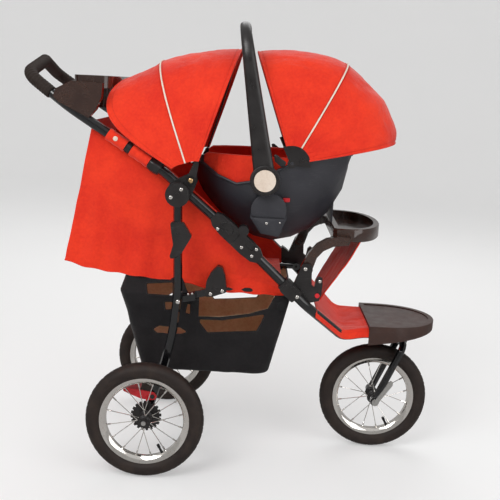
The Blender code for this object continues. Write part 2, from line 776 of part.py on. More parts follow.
def make_rear_legs(finishes):
    """Rear legs, their brackets and the axle between them."""
    eye_half = LEG_RADIUS - 0.0002
    leg = tube("leg", leg_path(), LEG_RADIUS, 2)
    eye = cross_rod("eye", LEG_PIVOT, LEG_Y - eye_half, LEG_Y + eye_half, LEG_EYE_RADIUS, 16)
    boss = cross_rod("boss", REAR_AXLE, LEG_FOOT_Y - 0.0125, LEG_FOOT_Y + 0.0122, 0.017, 16)
    brake_pin = cross_rod("brake_pin", BRAKE_PIVOT, LEG_FOOT_Y, BRAKE_ARM_OUTER_Y + GAP + 0.0005, 0.004, 12)
    brake_head = cross_rod(
        "brake_head", BRAKE_PIVOT, BRAKE_ARM_OUTER_Y + GAP, BRAKE_ARM_OUTER_Y + GAP + 0.0018, 0.006, 12
    )
    leg = joined(leg, eye, boss, brake_pin, brake_head)
    leg = cut(
        leg,
        cross_rod("pivot_bore", LEG_PIVOT, LEG_Y - 0.03, LEG_Y + 0.03, LEG_PIN_RADIUS + GAP, 12),
        cross_rod("axle_bore", REAR_AXLE, LEG_FOOT_Y - 0.03, LEG_FOOT_Y + 0.03, REAR_AXLE_RADIUS + GAP, 16),
    )
    pair(leg, "rear_leg", "rear_legs", "rear_legs", finishes["tube"])
    outline = rounded(
        [(-0.168, 0.668), (-0.134, 0.668), (-0.112, 0.634), (-0.136, 0.590), (-0.170, 0.566), (-0.158, 0.610)],
        0.006,
        2,
    )
    bracket = side_plate("bracket", outline, LEG_Y, LEG_Y + LEG_RADIUS + 0.003)
    bracket = cut(bracket, tube("bore", leg_path(), LEG_RADIUS + GAP, 2))
    pair(bracket, "leg_bracket", "rear_legs", "rear_legs", finishes["plastic"])
    tip = REAR_WHEEL_Y + REAR_HUB_HALF + 0.0025
    shoulder = LEG_FOOT_Y - 0.0125 - GAP
    profile = [
        (REAR_AXLE_RADIUS, tip),
        (0.0001, tip),
        (0.0001, -tip),
        (REAR_AXLE_RADIUS, -tip),
        (REAR_AXLE_RADIUS, -shoulder),
        (0.010, -shoulder),
        (0.010, shoulder),
        (REAR_AXLE_RADIUS, shoulder),
    ]
    axle = rod("rear_axle", (0, -tip, 0), (0, tip, 0), REAR_AXLE_RADIUS, 16)
    axle = joined(axle, rod("tube", (0, -shoulder, 0), (0, shoulder, 0), profile[5][0], 16))
    carried(moved(axle, at(REAR_AXLE, 0)), "rear_legs", finishes["steel"])


BRAKE_ARM_INNER_Y = LEG_FOOT_Y + 0.0135
BRAKE_ARM_OUTER_Y = BRAKE_ARM_INNER_Y + 0.0040


def make_brakes(finishes):
    """Red foot pedals with the pawl that drops between the disc's teeth."""
    pivot = BRAKE_PIVOT
    arm_points = [
        (pivot[0] + 0.012, pivot[1] + 0.002),
        (pivot[0] + 0.004, pivot[1] + 0.011),
        (pivot[0] - 0.030, pivot[1] + 0.016),
        (pivot[0] - 0.071, pivot[1] + 0.020),
        (pivot[0] - 0.077, pivot[1] + 0.013),
        (pivot[0] - 0.060, pivot[1] + 0.004),
        (pivot[0] - 0.030, pivot[1] - 0.007),
        (pivot[0] - 0.008, pivot[1] - 0.010),
        (pivot[0] + 0.008, pivot[1] - 0.008),
    ]
    arm = side_plate("arm", arm_points, BRAKE_ARM_INNER_Y, BRAKE_ARM_OUTER_Y)
    pad_points = [
        (pivot[0] - 0.036, pivot[1] + 0.0165),
        (pivot[0] - 0.071, pivot[1] + 0.020),
        (pivot[0] - 0.077, pivot[1] + 0.013),
        (pivot[0] - 0.072, pivot[1] + 0.009),
        (pivot[0] - 0.036, pivot[1] + 0.006),
    ]
    pad = side_plate("pad", pad_points, 0.172, BRAKE_ARM_OUTER_Y - 0.0005)
    half = BRAKE_DISC_THICKNESS / 2
    tip = AXLE_Z + BRAKE_DISC_RADIUS + 0.0010
    pawl = box(
        "pawl",
        (REAR_AXLE_X - 0.0014, BRAKE_ARM_OUTER_Y - 0.001, tip),
        (REAR_AXLE_X + 0.0014, BRAKE_DISC_Y + half * 0.6, pivot[1] - 0.001),
    )
    bore = cross_rod("bore", pivot, 0.2, 0.3, 0.004 + GAP, 12)
    pedal = cut(joined(arm, pad, pawl), bore)
    pair(pedal, "brake_pedal", "brake_pedal_left", "brake_pedal_right", finishes["red_plastic"])


LINK_HOUSING_INNER_Y = 0.1775
LINK_HOUSING_OUTER_Y = 0.2000
LINK_PLATE_INNER_Y = 0.1915
LINK_PLATE_OUTER_Y = 0.1965
LINK_BLOCK_OUTER_Y = 0.2225


def make_side_links(finishes):
    """The rail from the front connector to the D-shaped housing, and the short flat link to the rear leg."""
    start = at(LINK_PIVOT, LINK_Y) + Vector((-0.0072, 0, 0))
    rail = rod("rail", start, at(LINK_HOUSING, LINK_Y), LINK_RADIUS, 10)
    eye = cross_rod("eye", LINK_PIVOT, LINK_Y - 0.0085, LINK_Y + 0.0085, 0.011, 16)
    eye = cut(eye, cross_rod("bore", LINK_PIVOT, LINK_Y - 0.02, LINK_Y + 0.02, 0.0045 + GAP, 12))
    cross = cross_rod("cross", LINK_HOUSING, LINK_Y, LINK_HOUSING_INNER_Y - GAP, 0.006, 12)
    end = LINK_LEG_PIN - LINK_HOUSING
    across = Vector((-end[1], end[0])).normalized() * 0.010
    tail = LINK_LEG_PIN + end.normalized() * 0.009
    front = LINK_HOUSING - end.normalized() * 0.006
    flat_points = [front + across, front - across]
    flat_points += [LINK_LEG_PIN - across * 0.8, tail, LINK_LEG_PIN + across * 0.8]
    spine = cross_rod("spine", LINK_HOUSING, LINK_Y, LINK_PLATE_INNER_Y + 0.001, 0.0045, 12)
    flat = side_plate("flat", flat_points, LINK_PLATE_INNER_Y, LINK_PLATE_OUTER_Y)
    root = LINK_LEG_PIN - end * 0.45
    block_points = [root + across * 0.9, root - across * 0.9, LINK_LEG_PIN - across * 0.7]
    block_points += [tail - end.normalized() * 0.001, LINK_LEG_PIN + across * 0.7]
    block = side_plate("block", block_points, LINK_PLATE_OUTER_Y - 0.001, LINK_BLOCK_OUTER_Y)
    pin_end = LEG_Y - LEG_RADIUS - RUNNING_GAP
    pin = cross_rod("pin", LINK_LEG_PIN, LINK_BLOCK_OUTER_Y - 0.002, pin_end, 0.004, 12)
    link = joined(rail, eye, cross, spine, flat, block, pin)
    pair(link, "side_link", "side_links", "side_links", finishes["tube"])
    low = LINK_HOUSING[1] - 0.0165
    x = LINK_HOUSING[0]
    outline = [(x - 0.027, low), (x - 0.004, low + 0.002), (x + 0.030, low + 0.015), (x + 0.024, low + 0.058)]
    outline += [(x + 0.015, low + 0.080), (x + 0.004, low + 0.083), (x - 0.012, low + 0.066), (x - 0.024, low + 0.040)]
    housing = side_plate("d_housing", rounded(outline, 0.005, 2), LINK_HOUSING_INNER_Y, LINK_HOUSING_OUTER_Y)
    grown = [p + (p - LINK_HOUSING).normalized() * 0.001 - end.normalized() * 0.0008 for p in flat_points]
    slot = side_plate("slot", grown, LINK_PLATE_INNER_Y - GAP, LINK_PLATE_OUTER_Y + GAP)
    hole = cross_rod("hole", LINK_HOUSING, 0.16, LINK_PLATE_INNER_Y, 0.0045 + GAP, 12)
    housing = cut(housing, slot, hole)
    pair(housing, "link_housing", "side_links", "side_links", finishes["plastic"])


CONNECTOR_INNER_Y = 0.1987
CONNECTOR_OUTER_Y = 0.2320


def make_connectors(finishes):
    """Clamps on the lower tube: the ear for the tray's arm, the side link's pin and the red button."""
    along = (LOWER_BEND - HOUSING_CENTRE).normalized()
    across = Vector((-along[1], along[0]))

    def local(a, b):
        return CONNECTOR_CENTRE + along * a + across * b

    block = side_plate(
        "block",
        rounded([local(-0.024, -0.019), local(0.022, -0.019), local(0.024, 0.018), local(-0.024, 0.018)], 0.004, 2),
        CONNECTOR_INNER_Y,
        CONNECTOR_OUTER_Y,
    )
    collar = side_plate(
        "collar",
        [local(-0.030, -0.0165), local(-0.010, -0.0165), local(-0.010, 0.0165), local(-0.030, 0.0165)],
        CONNECTOR_INNER_Y + 0.001,
        CONNECTOR_OUTER_Y - 0.001,
    )
    ear_points = [(0.150, 0.516), (0.153, 0.484), (0.164, 0.468), (0.186, 0.467), (0.2060, 0.4725)]
    ear_points += [(0.2175, 0.4755), (0.2225, 0.490), (0.2245, 0.520), (0.2235, 0.534), (0.2150, 0.539)]
    ear_points += [(0.2080, 0.532), (0.2040, 0.510), (0.1965, 0.516)]
    ear_points += arc(TRAY_PIVOT, 0.0155, -30, 150, 7)
    ear = side_plate("ear", ear_points, CONNECTOR_INNER_Y, CONNECTOR_INNER_Y + 0.012)
    tray_pin = cross_rod(
        "tray_pin", TRAY_PIVOT, TRAY_ARM_Y - TRAY_ARM_HALF_WIDTH + 0.002, CONNECTOR_INNER_Y + 0.002, 0.005, 12
    )
    link_pin = cross_rod("link_pin", LINK_PIVOT, LINK_Y - 0.010, CONNECTOR_INNER_Y + 0.002, 0.0045, 12)
    outer = joined(block, collar, ear, tray_pin, link_pin)
    outer = cut(
        outer,
        tube("bore", lower_path(), TUBE_RADIUS + GAP),
        cross_rod("button_hole", RED_BUTTON, CONNECTOR_INNER_Y + 0.006, 0.24, RED_BUTTON_RADIUS + GAP, 16),
    )
    pair(outer, "tray_connector", "lower_frame", "lower_frame", finishes["plastic"])
    face = CONNECTOR_INNER_Y + 0.012
    button = cross_rod(
        "button", RED_BUTTON, CONNECTOR_INNER_Y + 0.006 + BUTTON_TRAVEL + GAP, face + 0.0025, RED_BUTTON_RADIUS, 16
    )
    pair(button, "tray_button", "tray_button_left", "tray_button_right", finishes["red_plastic"])


RED_BUTTON = Vector((0.2125, 0.4895))
RED_BUTTON_RADIUS = 0.0062


# Front end


def footrest_outline(inset, rear_x):
    """The footrest in plan: straight sides that round into the nose."""
    start = FOOTREST_REAR_X + 0.034
    length = FOOTREST_NOSE_X - start - inset
    width = FOOTREST_HALF_WIDTH - inset
    half = [(rear_x, width)]
    for i in range(11):
        share = math.sin(math.pi / 2 * i / 10)
        y = width * math.sqrt(max(0.0, 1 - share**2.4))
        half.append((start + length * share, y))
    half[-1] = (half[-1][0], 0.0)
    return half + [(x, -y) for x, y in reversed(half[:-1])]


def make_footrest(finishes):
    """The footrest: a top with a rim and side walls, open underneath and at the rear."""
    top = FOOTREST_TOP_Z
    rest = plan_plate("footrest", footrest_outline(0, FOOTREST_REAR_X), 0.330, top)
    rest = round_edges(rest, 0.004, 1, math.radians(60))
    hollow = plan_plate("hollow", footrest_outline(0.003, FOOTREST_REAR_X - 0.02), 0.320, FOOTREST_CEILING_Z)
    tread = plan_plate("tread", footrest_outline(0.014, FOOTREST_REAR_X + 0.012), top - 0.003, top + 0.01)
    wedge = side_plate(
        "wedge",
        [(FOOTREST_REAR_X - 0.05, 0.30), (0.62, 0.30), (0.62, 0.3765), (FOOTREST_REAR_X - 0.05, 0.3310)],
        -0.2,
        0.2,
    )
    rest = cut(rest, hollow, tread, wedge)
    carried(rest, "lower_frame", finishes["footrest"])


def make_swivel(finishes):
    """Swivel head on the lower tube, fork with its stem, axle and quick-release lever."""
    top = FOOTREST_CEILING_Z - GAP
    low = SWIVEL_HEAD_BOTTOM_Z
    head = rod("swivel_head", (STEER_X, 0, low), (STEER_X, 0, top), 0.026, 24)
    block = box("block", (FRONT_CROSS_X - 0.017, -0.024, low + 0.004), (STEER_X, 0.024, top - 0.0002))
    head = joined(head, block)
    head = cut(
        head,
        tube("bore", whole_lower_path(), TUBE_RADIUS + GAP),
        rod("stem_bore", (STEER_X, 0, low - 0.01), (STEER_X, 0, top - 0.006), STEM_RADIUS + GAP, 20),
    )
    carried(head, "lower_frame", finishes["plastic"])
    leg_end = at(FRONT_AXLE, FORK_Y)
    shoulder = Vector((STEER_X, FORK_Y, FORK_CROWN_Z))
    half = bent([leg_end, shoulder, Vector((STEER_X, 0, FORK_CROWN_Z))], [0.024], 4)
    path = half + [Vector((p[0], -p[1], p[2])) for p in half[-2::-1]]
    fork = tube("fork", path, FORK_RADIUS, 2)
    stem = rod("stem", (STEER_X, 0, FORK_CROWN_Z), (STEER_X, 0, top - 0.007), STEM_RADIUS, 20)
    race = rod("race", (STEER_X, 0, FORK_CROWN_Z), (STEER_X, 0, low - GAP), 0.016, 20)
    tip = FORK_Y + 0.011
    bosses = [cross_rod(f"boss_{s}", FRONT_AXLE, s * (FORK_Y - 0.0105), s * tip, 0.0125, 16) for s in (-1, 1)]
    fork = joined(fork, stem, race, *bosses)
    fork = cut(fork, cross_rod("bore", FRONT_AXLE, -0.1, 0.1, FRONT_AXLE_RADIUS + GAP, 16))
    carried(fork, "fork", finishes["tube"])
    axle = cross_rod("front_axle", FRONT_AXLE, -tip - 0.008, tip + 0.007, FRONT_AXLE_RADIUS, 16)
    nut = cross_rod("nut", FRONT_AXLE, tip + GAP, tip + 0.008, 0.009, 6)
    cap = cross_rod("cap", FRONT_AXLE, -tip - 0.010, -tip - GAP, 0.0095, 16)
    axle = joined(axle, nut, cap)
    carried(axle, "fork", finishes["steel"])
    along = QUICK_LEVER
    across = Vector((-along[1], along[0]))
    y_inner = -tip - 0.010 - GAP
    points = [(0.0006, -0.0055), (0.040, -0.0065), (0.070, -0.0075), (0.078, -0.003), (0.078, 0.004)]
    points += [(0.070, 0.0075), (0.040, 0.0055), (0.0006, 0.0055)]
    lever = side_plate(
        "quick_release_lever", [FRONT_AXLE + along * a + across * b for a, b in points], y_inner - 0.004, y_inner
    )
    carried(lever, "quick_release", finishes["steel"])


QUICK_LEVER = Vector((0.535, 0.845))


# Trays


def make_console(finishes):
    """The parent console: cup wells at both ends, a bin between, and saddles on the tubes."""
    rear, front = CONSOLE_REAR_X, CONSOLE_FRONT_X
    middle = (rear + front) / 2
    top = CONSOLE_TOP_Z
    wall = 0.0035
    outline = rounded(
        [
            (rear, -CONSOLE_HALF_WIDTH),
            (front, -CONSOLE_HALF_WIDTH),
            (front, CONSOLE_HALF_WIDTH),
            (rear, CONSOLE_HALF_WIDTH),
        ],
        0.030,
        4,
    )
    deck = plan_plate("console", outline, top - 0.030, top)
    cups = []
    wells = []
    for side in (-1, 1):
        place = Vector((middle, side * CUP_Y, 0))
        cups.append(
            rod(f"cup_{side}", place + UP * (top - 0.078), place + UP * (top - 0.01), 0.037, 16, 0.0435)
        )
        wells.append(
            rod(f"well_{side}", place + UP * (top - 0.0745), place + UP * (top + 0.01), 0.0335, 16, 0.0400)
        )
    saddles = []
    for side in (-1, 1):
        low = Vector((-0.381, 0.910))
        points = [low, (-0.363, 0.931), (-0.350, 0.962), (-0.348, 0.996), (-0.425, 0.998)]
        points += [(-0.462, 0.978), (-0.470, 0.958), (-0.455, 0.945)]
        saddles.append(side_plate(f"saddle_{side}", points, side * 0.1925, side * 0.2190))
        saddles.append(
            box(
                f"bridge_{side}",
                (-0.425, min(side * 0.160, side * 0.196), top - 0.028),
                (-0.392, max(side * 0.160, side * 0.196), top - 0.022),
            )
        )
    tray = joined(deck, *cups, *saddles)
    bin_outline = rounded(
        [(rear + 0.012, -0.062), (front - 0.012, -0.062), (front - 0.012, 0.062), (rear + 0.012, 0.062)], 0.012, 3
    )
    well = plan_plate("bin", bin_outline, top - 0.030 + wall, top + 0.01)
    tray = cut(tray, well, *wells)
    tray = cut(tray, tube("bore", whole_upper_path(), TUBE_RADIUS + GAP))
    carried(renamed(tray, "parent_console"), "upper_frame", finishes["tray"])


def tray_outline(inset):
    """The child tray in plan: straight rear edge, sides drawn in to a rounded nose."""
    width = TRAY_HALF_WIDTH - inset
    rear = TRAY_REAR_X + inset
    nose = TRAY_NOSE_X - inset
    half = [(rear, width - 0.010), (rear + 0.010, width)]
    start = TRAY_REAR_X + 0.030
    for i in range(1, 10):
        share = math.sin(math.pi / 2 * i / 9)
        half.append((start + (nose - start) * share, width * (1 - share**2.6) ** 0.5 if i < 9 else 0.0))
    return half + [(x, -y) for x, y in reversed(half[:-1])]


def make_child_tray(finishes):
    """The child tray with its recess, and two curved arms that pivot on the connectors."""
    tray = plan_plate("child_tray", tray_outline(0), TRAY_BOTTOM_Z, TRAY_TOP_Z)
    tray = round_edges(tray, 0.005, 1, math.radians(60))
    recess = plan_plate("recess", tray_outline(0.016), TRAY_BOTTOM_Z + 0.012, TRAY_TOP_Z + 0.01)
    tray = cut(tray, recess)
    arms = []
    for side in (-1, 1):
        outer = side * (TRAY_ARM_Y + TRAY_ARM_HALF_WIDTH)
        inner = side * (TRAY_ARM_Y - TRAY_ARM_HALF_WIDTH - 0.010)
        points = arc(TRAY_PIVOT, 0.0150, 150, 345, 8)
        points += [(0.206, 0.585), (0.222, 0.604), (0.246, 0.6165), (0.286, 0.622), (0.292, 0.640)]
        points += [(0.262, 0.6435), (0.228, 0.636), (0.204, 0.621), (0.184, 0.596)]
        arm = side_plate(f"arm_{side}", points, min(inner, outer), max(inner, outer))
        slot = box(
            f"inner_{side}",
            (0.10, min(side * 0.150, side * (TRAY_ARM_Y - TRAY_ARM_HALF_WIDTH)), 0.50),
            (0.2395, max(side * 0.150, side * (TRAY_ARM_Y - TRAY_ARM_HALF_WIDTH)), 0.70),
        )
        arms.append(cut(arm, slot))
    tray = joined(tray, *arms)
    tray = cut(tray, cross_rod("bore", TRAY_PIVOT, -0.3, 0.3, 0.005 + GAP, 12))
    carried(renamed(tray, "child_tray"), "child_tray", finishes["tray"])


# Soft goods


SKIRT_Y = 0.1983
SKIRT_WALL = 0.003
SKIRT_HEM = [
    (-0.447, 0.537), (-0.345, 0.516), (-0.145, 0.497),
    (-0.020, 0.490), (0.060, 0.487), (0.131, 0.481),
]
SKIRT_TOP = [
    (-0.374, 0.904), (-0.300, 0.870), (-0.191, 0.803),
    (-0.060, 0.696), (0.050, 0.600), (0.128, 0.528),
]
SEAT_FLOOR_Z = 0.503


def skirt_y(u, v):
    """How far out the skirt hangs: soft upright folds that deepen towards the hem."""
    folds = 0.5 + 0.5 * math.cos(math.tau * 3.5 * u + 0.7)
    drawn_in = 0.0225 * min(1.0, v / 0.7) ** 1.5
    return SKIRT_Y - drawn_in - 0.004 * v * folds - 0.0048 * max(0.0, 1 - u / 0.22)


def between(points, u):
    """A point at the share u along a list of points, even in x."""
    x = points[0][0] + (points[-1][0] - points[0][0]) * u
    for a, b in zip(points, points[1:]):
        if a[0] <= x <= b[0]:
            return Vector((x, a[1] + (b[1] - a[1]) * (x - a[0]) / (b[0] - a[0])))
    return Vector(points[-1])


def make_seat(finishes):
    """The reclined seat: side skirts that hang from the tubes, a rear wall and a floor."""
    columns, levels = 12, 3
    rows = []
    for i in range(columns + 1):
        u = i / columns
        top, hem = between(SKIRT_TOP, u), between(SKIRT_HEM, u)
        rows.append([at(top.lerp(hem, k / levels), skirt_y(u, k / levels)) for k in range(levels + 1)])
    inner = [[p - Vector((0, SKIRT_WALL, 0)) for p in row] for row in rows]
    left = sheet_solid("skirt", rows, inner)
    right = mirrored(left, "skirt_right")
    wall_rows, wall_inner = [], []
    for k in range(5):
        v = k / 4
        place = Vector(SKIRT_TOP[0]).lerp(Vector(SKIRT_HEM[0]), v)
        reach = skirt_y(0, v) - SKIRT_WALL / 2
        row = []
        for i in range(7):
            share = 2 * i / 6 - 1
            bulge = 0.012 * (1 - share**2) * math.sin(math.pi * v)
            row.append(Vector((place[0] + 0.0006 - bulge, reach * share, place[1])))
        wall_rows.append(row)
        wall_inner.append([p + Vector((0.004, 0, 0)) for p in row])
    wall = sheet_solid("rear_wall", wall_rows, wall_inner)
    floor_rows, floor_under = [], []
    for k in range(6):
        u = 0.004 + 0.982 * k / 5
        v = 0.86
        place = between(SKIRT_TOP, u).lerp(between(SKIRT_HEM, u), v)
        reach = skirt_y(u, v) - SKIRT_WALL / 2
        row = [Vector((place[0], reach * share, max(place[1], SEAT_FLOOR_Z))) for share in (-1, 0, 1)]
        floor_rows.append(row)
        floor_under.append([p - Vector((0, 0, 0.006)) for p in row])
    floor = sheet_solid("floor", floor_rows, floor_under)
    seat = joined(left, right, wall, floor)
    carried(renamed(seat, "seat_fabric"), "lower_frame", finishes["fabric"])


def sheet_solid(name, outer, inner):
    """A closed solid between two like grids of points."""
    bm = bmesh.new()
    front = [[bm.verts.new(p) for p in row] for row in outer]
    back = [[bm.verts.new(p) for p in row] for row in inner]
    rows, columns = len(front), len(front[0])
    for i in range(rows - 1):
        for k in range(columns - 1):
            patch(bm, front[i][k], front[i][k + 1], front[i + 1][k + 1], front[i + 1][k])
            patch(bm, back[i][k], back[i + 1][k], back[i + 1][k + 1], back[i][k + 1])
    for i in range(rows - 1):
        patch(bm, front[i][0], front[i + 1][0], back[i + 1][0], back[i][0])
        patch(bm, front[i][-1], back[i][-1], back[i + 1][-1], front[i + 1][-1])
    for k in range(columns - 1):
        patch(bm, front[0][k], back[0][k], back[0][k + 1], front[0][k + 1])
        patch(bm, front[-1][k], front[-1][k + 1], back[-1][k + 1], back[-1][k])
    return from_bmesh(name, bm)


BASKET_RIM_Z = 0.466
BASKET_FLOOR_Z = 0.256
BASKET_HALF_WIDTH = 0.188
BASKET_WALL = 0.004


def basket_ring(level, inset):
    """The basket's outline at a level, 0 at the floor and 1 at the rim."""
    rear = -0.240 - 0.058 * level + inset
    front = 0.100 + 0.048 * level - inset
    width = BASKET_HALF_WIDTH - 0.022 * (1 - level) - inset
    z = BASKET_FLOOR_Z + (BASKET_RIM_Z - BASKET_FLOOR_Z) * level
    corners = rounded([(rear, -width), (front, -width), (front, width), (rear, width)], 0.025, 3)
    return [Vector((p[0], p[1], z)) for p in corners]


def make_basket(finishes):
    """The basket: a sagging tub with a wide window in each side, hung by straps from the side links."""
    outer = lofted("basket", [basket_ring(k / 4, 0.0 if k else 0.012) for k in range(5)])
    inner_rings = [basket_ring(k / 4, BASKET_WALL if k else 0.012 + BASKET_WALL) for k in range(5)]
    inner_rings[0] = [p + Vector((0, 0, BASKET_WALL)) for p in inner_rings[0]]
    inner_rings.append([p + Vector((0, 0, 0.02)) for p in inner_rings[-1]])
    basket = cut(outer, lofted("hollow", inner_rings))
    window = [(-0.092, 0.4585), (-0.092, 0.372), (-0.070, 0.359), (0.066, 0.361), (0.080, 0.385), (0.094, 0.4585)]
    strap = [(-0.110, 0.4105), (0.0, 0.408), (0.11, 0.4235), (0.11, 0.4335), (0.0, 0.4165), (-0.110, 0.4205)]
    opening = cut(
        side_plate("window", rounded(window, 0.006, 2), -0.25, 0.25), side_plate("strap", strap, -0.26, 0.26)
    )
    small = side_plate("small", [(-0.235, 0.4585), (-0.225, 0.425), (-0.170, 0.420), (-0.165, 0.4585)], -0.25, 0.25)
    basket = cut(basket, opening, small)
    straps = []
    for side in (-1, 1):
        for x in (0.020, 0.120):
            top = LINK_PIVOT[1] - LINK_RADIUS - GAP
            profile = [
                (BASKET_HALF_WIDTH - 0.0005, BASKET_RIM_Z - 0.006),
                (BASKET_HALF_WIDTH - 0.0005, BASKET_RIM_Z + 0.004),
                (LINK_Y + 0.004, top),
                (LINK_Y - 0.007, top),
                (LINK_Y - 0.007, top - 0.0025),
                (LINK_Y + 0.003, top - 0.0025),
                (BASKET_HALF_WIDTH - 0.0035, BASKET_RIM_Z - 0.0005),
                (BASKET_HALF_WIDTH - 0.0035, BASKET_RIM_Z - 0.006),
            ]
            points = [Vector((x - 0.010, side * y, z)) for y, z in profile]
            other = [p + Vector((0.020, 0, 0)) for p in points]
            straps.append(lofted(f"strap_{side}_{x}", [points, other]))
    basket = joined(basket, *straps)
    carried(renamed(basket, "basket"), "lower_frame", finishes["dark_fabric"])


def lower_tube_at(x):
    """The lower tube's middle at x on the left side."""
    path = lower_path()
    for a, b in zip(path, path[1:]):
        if a[0] <= x <= b[0] and b[0] > a[0]:
            return a.lerp(b, (x - a[0]) / (b[0] - a[0]))
    return path[-1]


def make_leg_panels(finishes):
    """The calf panel over the lower tubes, and the front panel up to the child tray."""
    thick = 0.003
    outer, inner = [], []
    for k in range(10):
        x = 0.216 + (FOOTREST_REAR_X - 0.0005 - 0.216) * k / 9
        middle = lower_tube_at(x)
        lift = TUBE_RADIUS * 1.45 + GAP
        slope_side = TUBE_RADIUS + 0.0035
        width = middle[1] + slope_side
        sag = 0.010 * math.sin(math.pi * k / 9)
        row = []
        row.append(Vector((x - 0.004, -width - 0.002, middle[2] - 0.004)))
        for i in range(9):
            share = 2 * i / 8 - 1
            y = width * share
            z = middle[2] + lift - sag * (1 - share**4)
            row.append(Vector((x, y, z)))
        row.append(Vector((x - 0.004, width + 0.002, middle[2] - 0.004)))
        outer.append([Vector((p[0], p[1], p[2] + thick)) for p in row])
        inner.append(row)
        for line in (outer[-1], inner[-1]):
            line[0] = Vector((line[0][0], line[0][1], middle[2] - 0.004))
            line[-1] = Vector((line[-1][0], line[-1][1], middle[2] - 0.004))
        outer[-1][0][1] -= 0.003
        outer[-1][-1][1] += 0.003
    panel = sheet_solid("calf_panel", outer, inner)
    clear = tube("clear", whole_lower_path(), TUBE_RADIUS + GAP)
    panel = cut(panel, clear)
    carried(panel, "lower_frame", finishes["fabric"])
    line = [Vector((0.318, TRAY_BOTTOM_Z - 0.0008)), Vector((0.296, 0.575))]
    line += [Vector((0.262, 0.515)), Vector((0.2365, 0.470))]
    line.append(Vector((0.229, 0.4545)))
    outer, inner = [], []
    for k, place in enumerate(line):
        wide = 0.105 + 0.045 * (1 - k / 4)
        row = []
        for i in range(9):
            share = 2 * i / 8 - 1
            bulge = 0.008 * (1 - share**2) * math.sin(math.pi * k / 4)
            row.append(Vector((place[0] + bulge, wide * share, place[1])))
        outer.append([p + Vector((thick, 0, 0)) for p in row])
        inner.append(row)
    front = sheet_solid("front_panel", outer, inner)
    carried(front, "lower_frame", finishes["fabric"])


def fan_sheet(name, pivot, ribs, half_width, power, low_turn, wall, columns=12):
    """A canopy: arches that fan out from the pivot axis, given by angle and reach, made into a sheet."""
    outer, inner = [], []
    for rib in ribs:
        foot_angle, foot_reach, crown_angle, crown_reach = rib if len(rib) == 4 else rib + rib
        for rows, less in ((outer, 0.0), (inner, wall)):
            row = []
            for i in range(columns + 1):
                turn = low_turn + (math.pi - 2 * low_turn) * i / columns
                share = abs(math.sin(turn)) ** 3
                angle = math.radians(foot_angle + (crown_angle - foot_angle) * share)
                reach = foot_reach + (crown_reach - foot_reach) * share
                direction = Vector((math.cos(angle), math.sin(angle)))
                out = (reach - less) * abs(math.sin(turn)) ** power
                across = (half_width - less) * math.copysign(abs(math.cos(turn)) ** power, math.cos(turn))
                row.append(at(Vector(pivot) + direction * out, across))
            rows.append(row)
    return sheet_solid(name, outer, inner)


# Each bow by its angle and length at its feet, and again at its crown: the rear ones lean back at their feet
CANOPY_RIBS = [
    (72.0, 0.347, 72.0, 0.347),
    (84.0, 0.331, 84.0, 0.331),
    (97.0, 0.316, 97.0, 0.316),
    (110.0, 0.308, 109.0, 0.306),
    (122.0, 0.316, 114.5, 0.303),
    (133.0, 0.338, 119.0, 0.303),
    (142.0, 0.358, 123.0, 0.303),
    (149.5, 0.372, 126.5, 0.302),
]
CANOPY_HALF_WIDTH = CANOPY_PLATE_OUTER_Y + GAP + CANOPY_WALL
CANOPY_POWER = 0.62
BOW_ANGLE = 74.0
CARRIER_BOW_ANGLE = 108.0
CARRIER_RIBS = [
    (110.0, 0.294),
    (99.0, 0.290),
    (88.0, 0.289),
    (76.0, 0.290),
    (65.0, 0.290),
    (53.0, 0.290),
    (42.0, 0.291),
    (30.0, 0.294),
    (18.0, 0.2955),
    (12.0, 0.284),
]
CARRIER_CANOPY_HALF_WIDTH = 0.1925
CARRIER_POWER = 0.66
CARRIER_PLATE_INNER_Y = 0.1860
CARRIER_PLATE_OUTER_Y = 0.1884


def arch_path(pivot, angle, reach, half_width, power, low_turn, count=12):
    """The line of a wire bow: the same arch as the canopy's."""
    direction = Vector((math.cos(math.radians(angle)), math.sin(math.radians(angle))))
    path = []
    for i in range(count + 1):
        turn = low_turn + (math.pi - 2 * low_turn) * i / count
        out = reach * abs(math.sin(turn)) ** power
        across = half_width * math.copysign(abs(math.cos(turn)) ** power, math.cos(turn))
        path.append(at(Vector(pivot) + direction * out, across))
    return path


def make_canopy(finishes):
    """The pushchair's canopy and its front bow, which turns on the pivot housings."""
    canopy = fan_sheet("canopy", CANOPY_PIVOT, CANOPY_RIBS, CANOPY_HALF_WIDTH, CANOPY_POWER, 0.045, CANOPY_WALL)
    carried(canopy, "canopy", finishes["fabric"])
    under = CANOPY_WALL + BOW_RADIUS + 0.0012
    half = (CANOPY_PLATE_INNER_Y + CANOPY_PLATE_OUTER_Y) / 2
    path = arch_path(CANOPY_PIVOT, BOW_ANGLE, 0.344 - under, half, CANOPY_POWER, 0.045)
    bow = tube("bow", path, 0.0022, 2)
    plates = []
    along = Vector((math.cos(math.radians(BOW_ANGLE)), math.sin(math.radians(BOW_ANGLE))))
    across = Vector((-along[1], along[0]))
    for side in (-1, 1):
        shape = [(0.0, 0.0125), (0.045, 0.006), (0.052, 0.0), (0.045, -0.006), (0.0, -0.0125)]
        points = arc(CANOPY_PIVOT, 0.0125, BOW_ANGLE + 90, BOW_ANGLE + 270, 8)
        points += [CANOPY_PIVOT + along * a + across * b for a, b in reversed(shape[1:-1])]
        low, high = sorted((side * CANOPY_PLATE_INNER_Y, side * CANOPY_PLATE_OUTER_Y))
        plates.append(side_plate(f"plate_{side}", points, low, high))
    bow = joined(bow, *plates)
    bow = cut(bow, cross_rod("bore", CANOPY_PIVOT, -0.3, 0.3, 0.004 + GAP, 12))
    carried(renamed(bow, "canopy_bow"), "canopy_bow", finishes["plastic"])


# Infant carrier

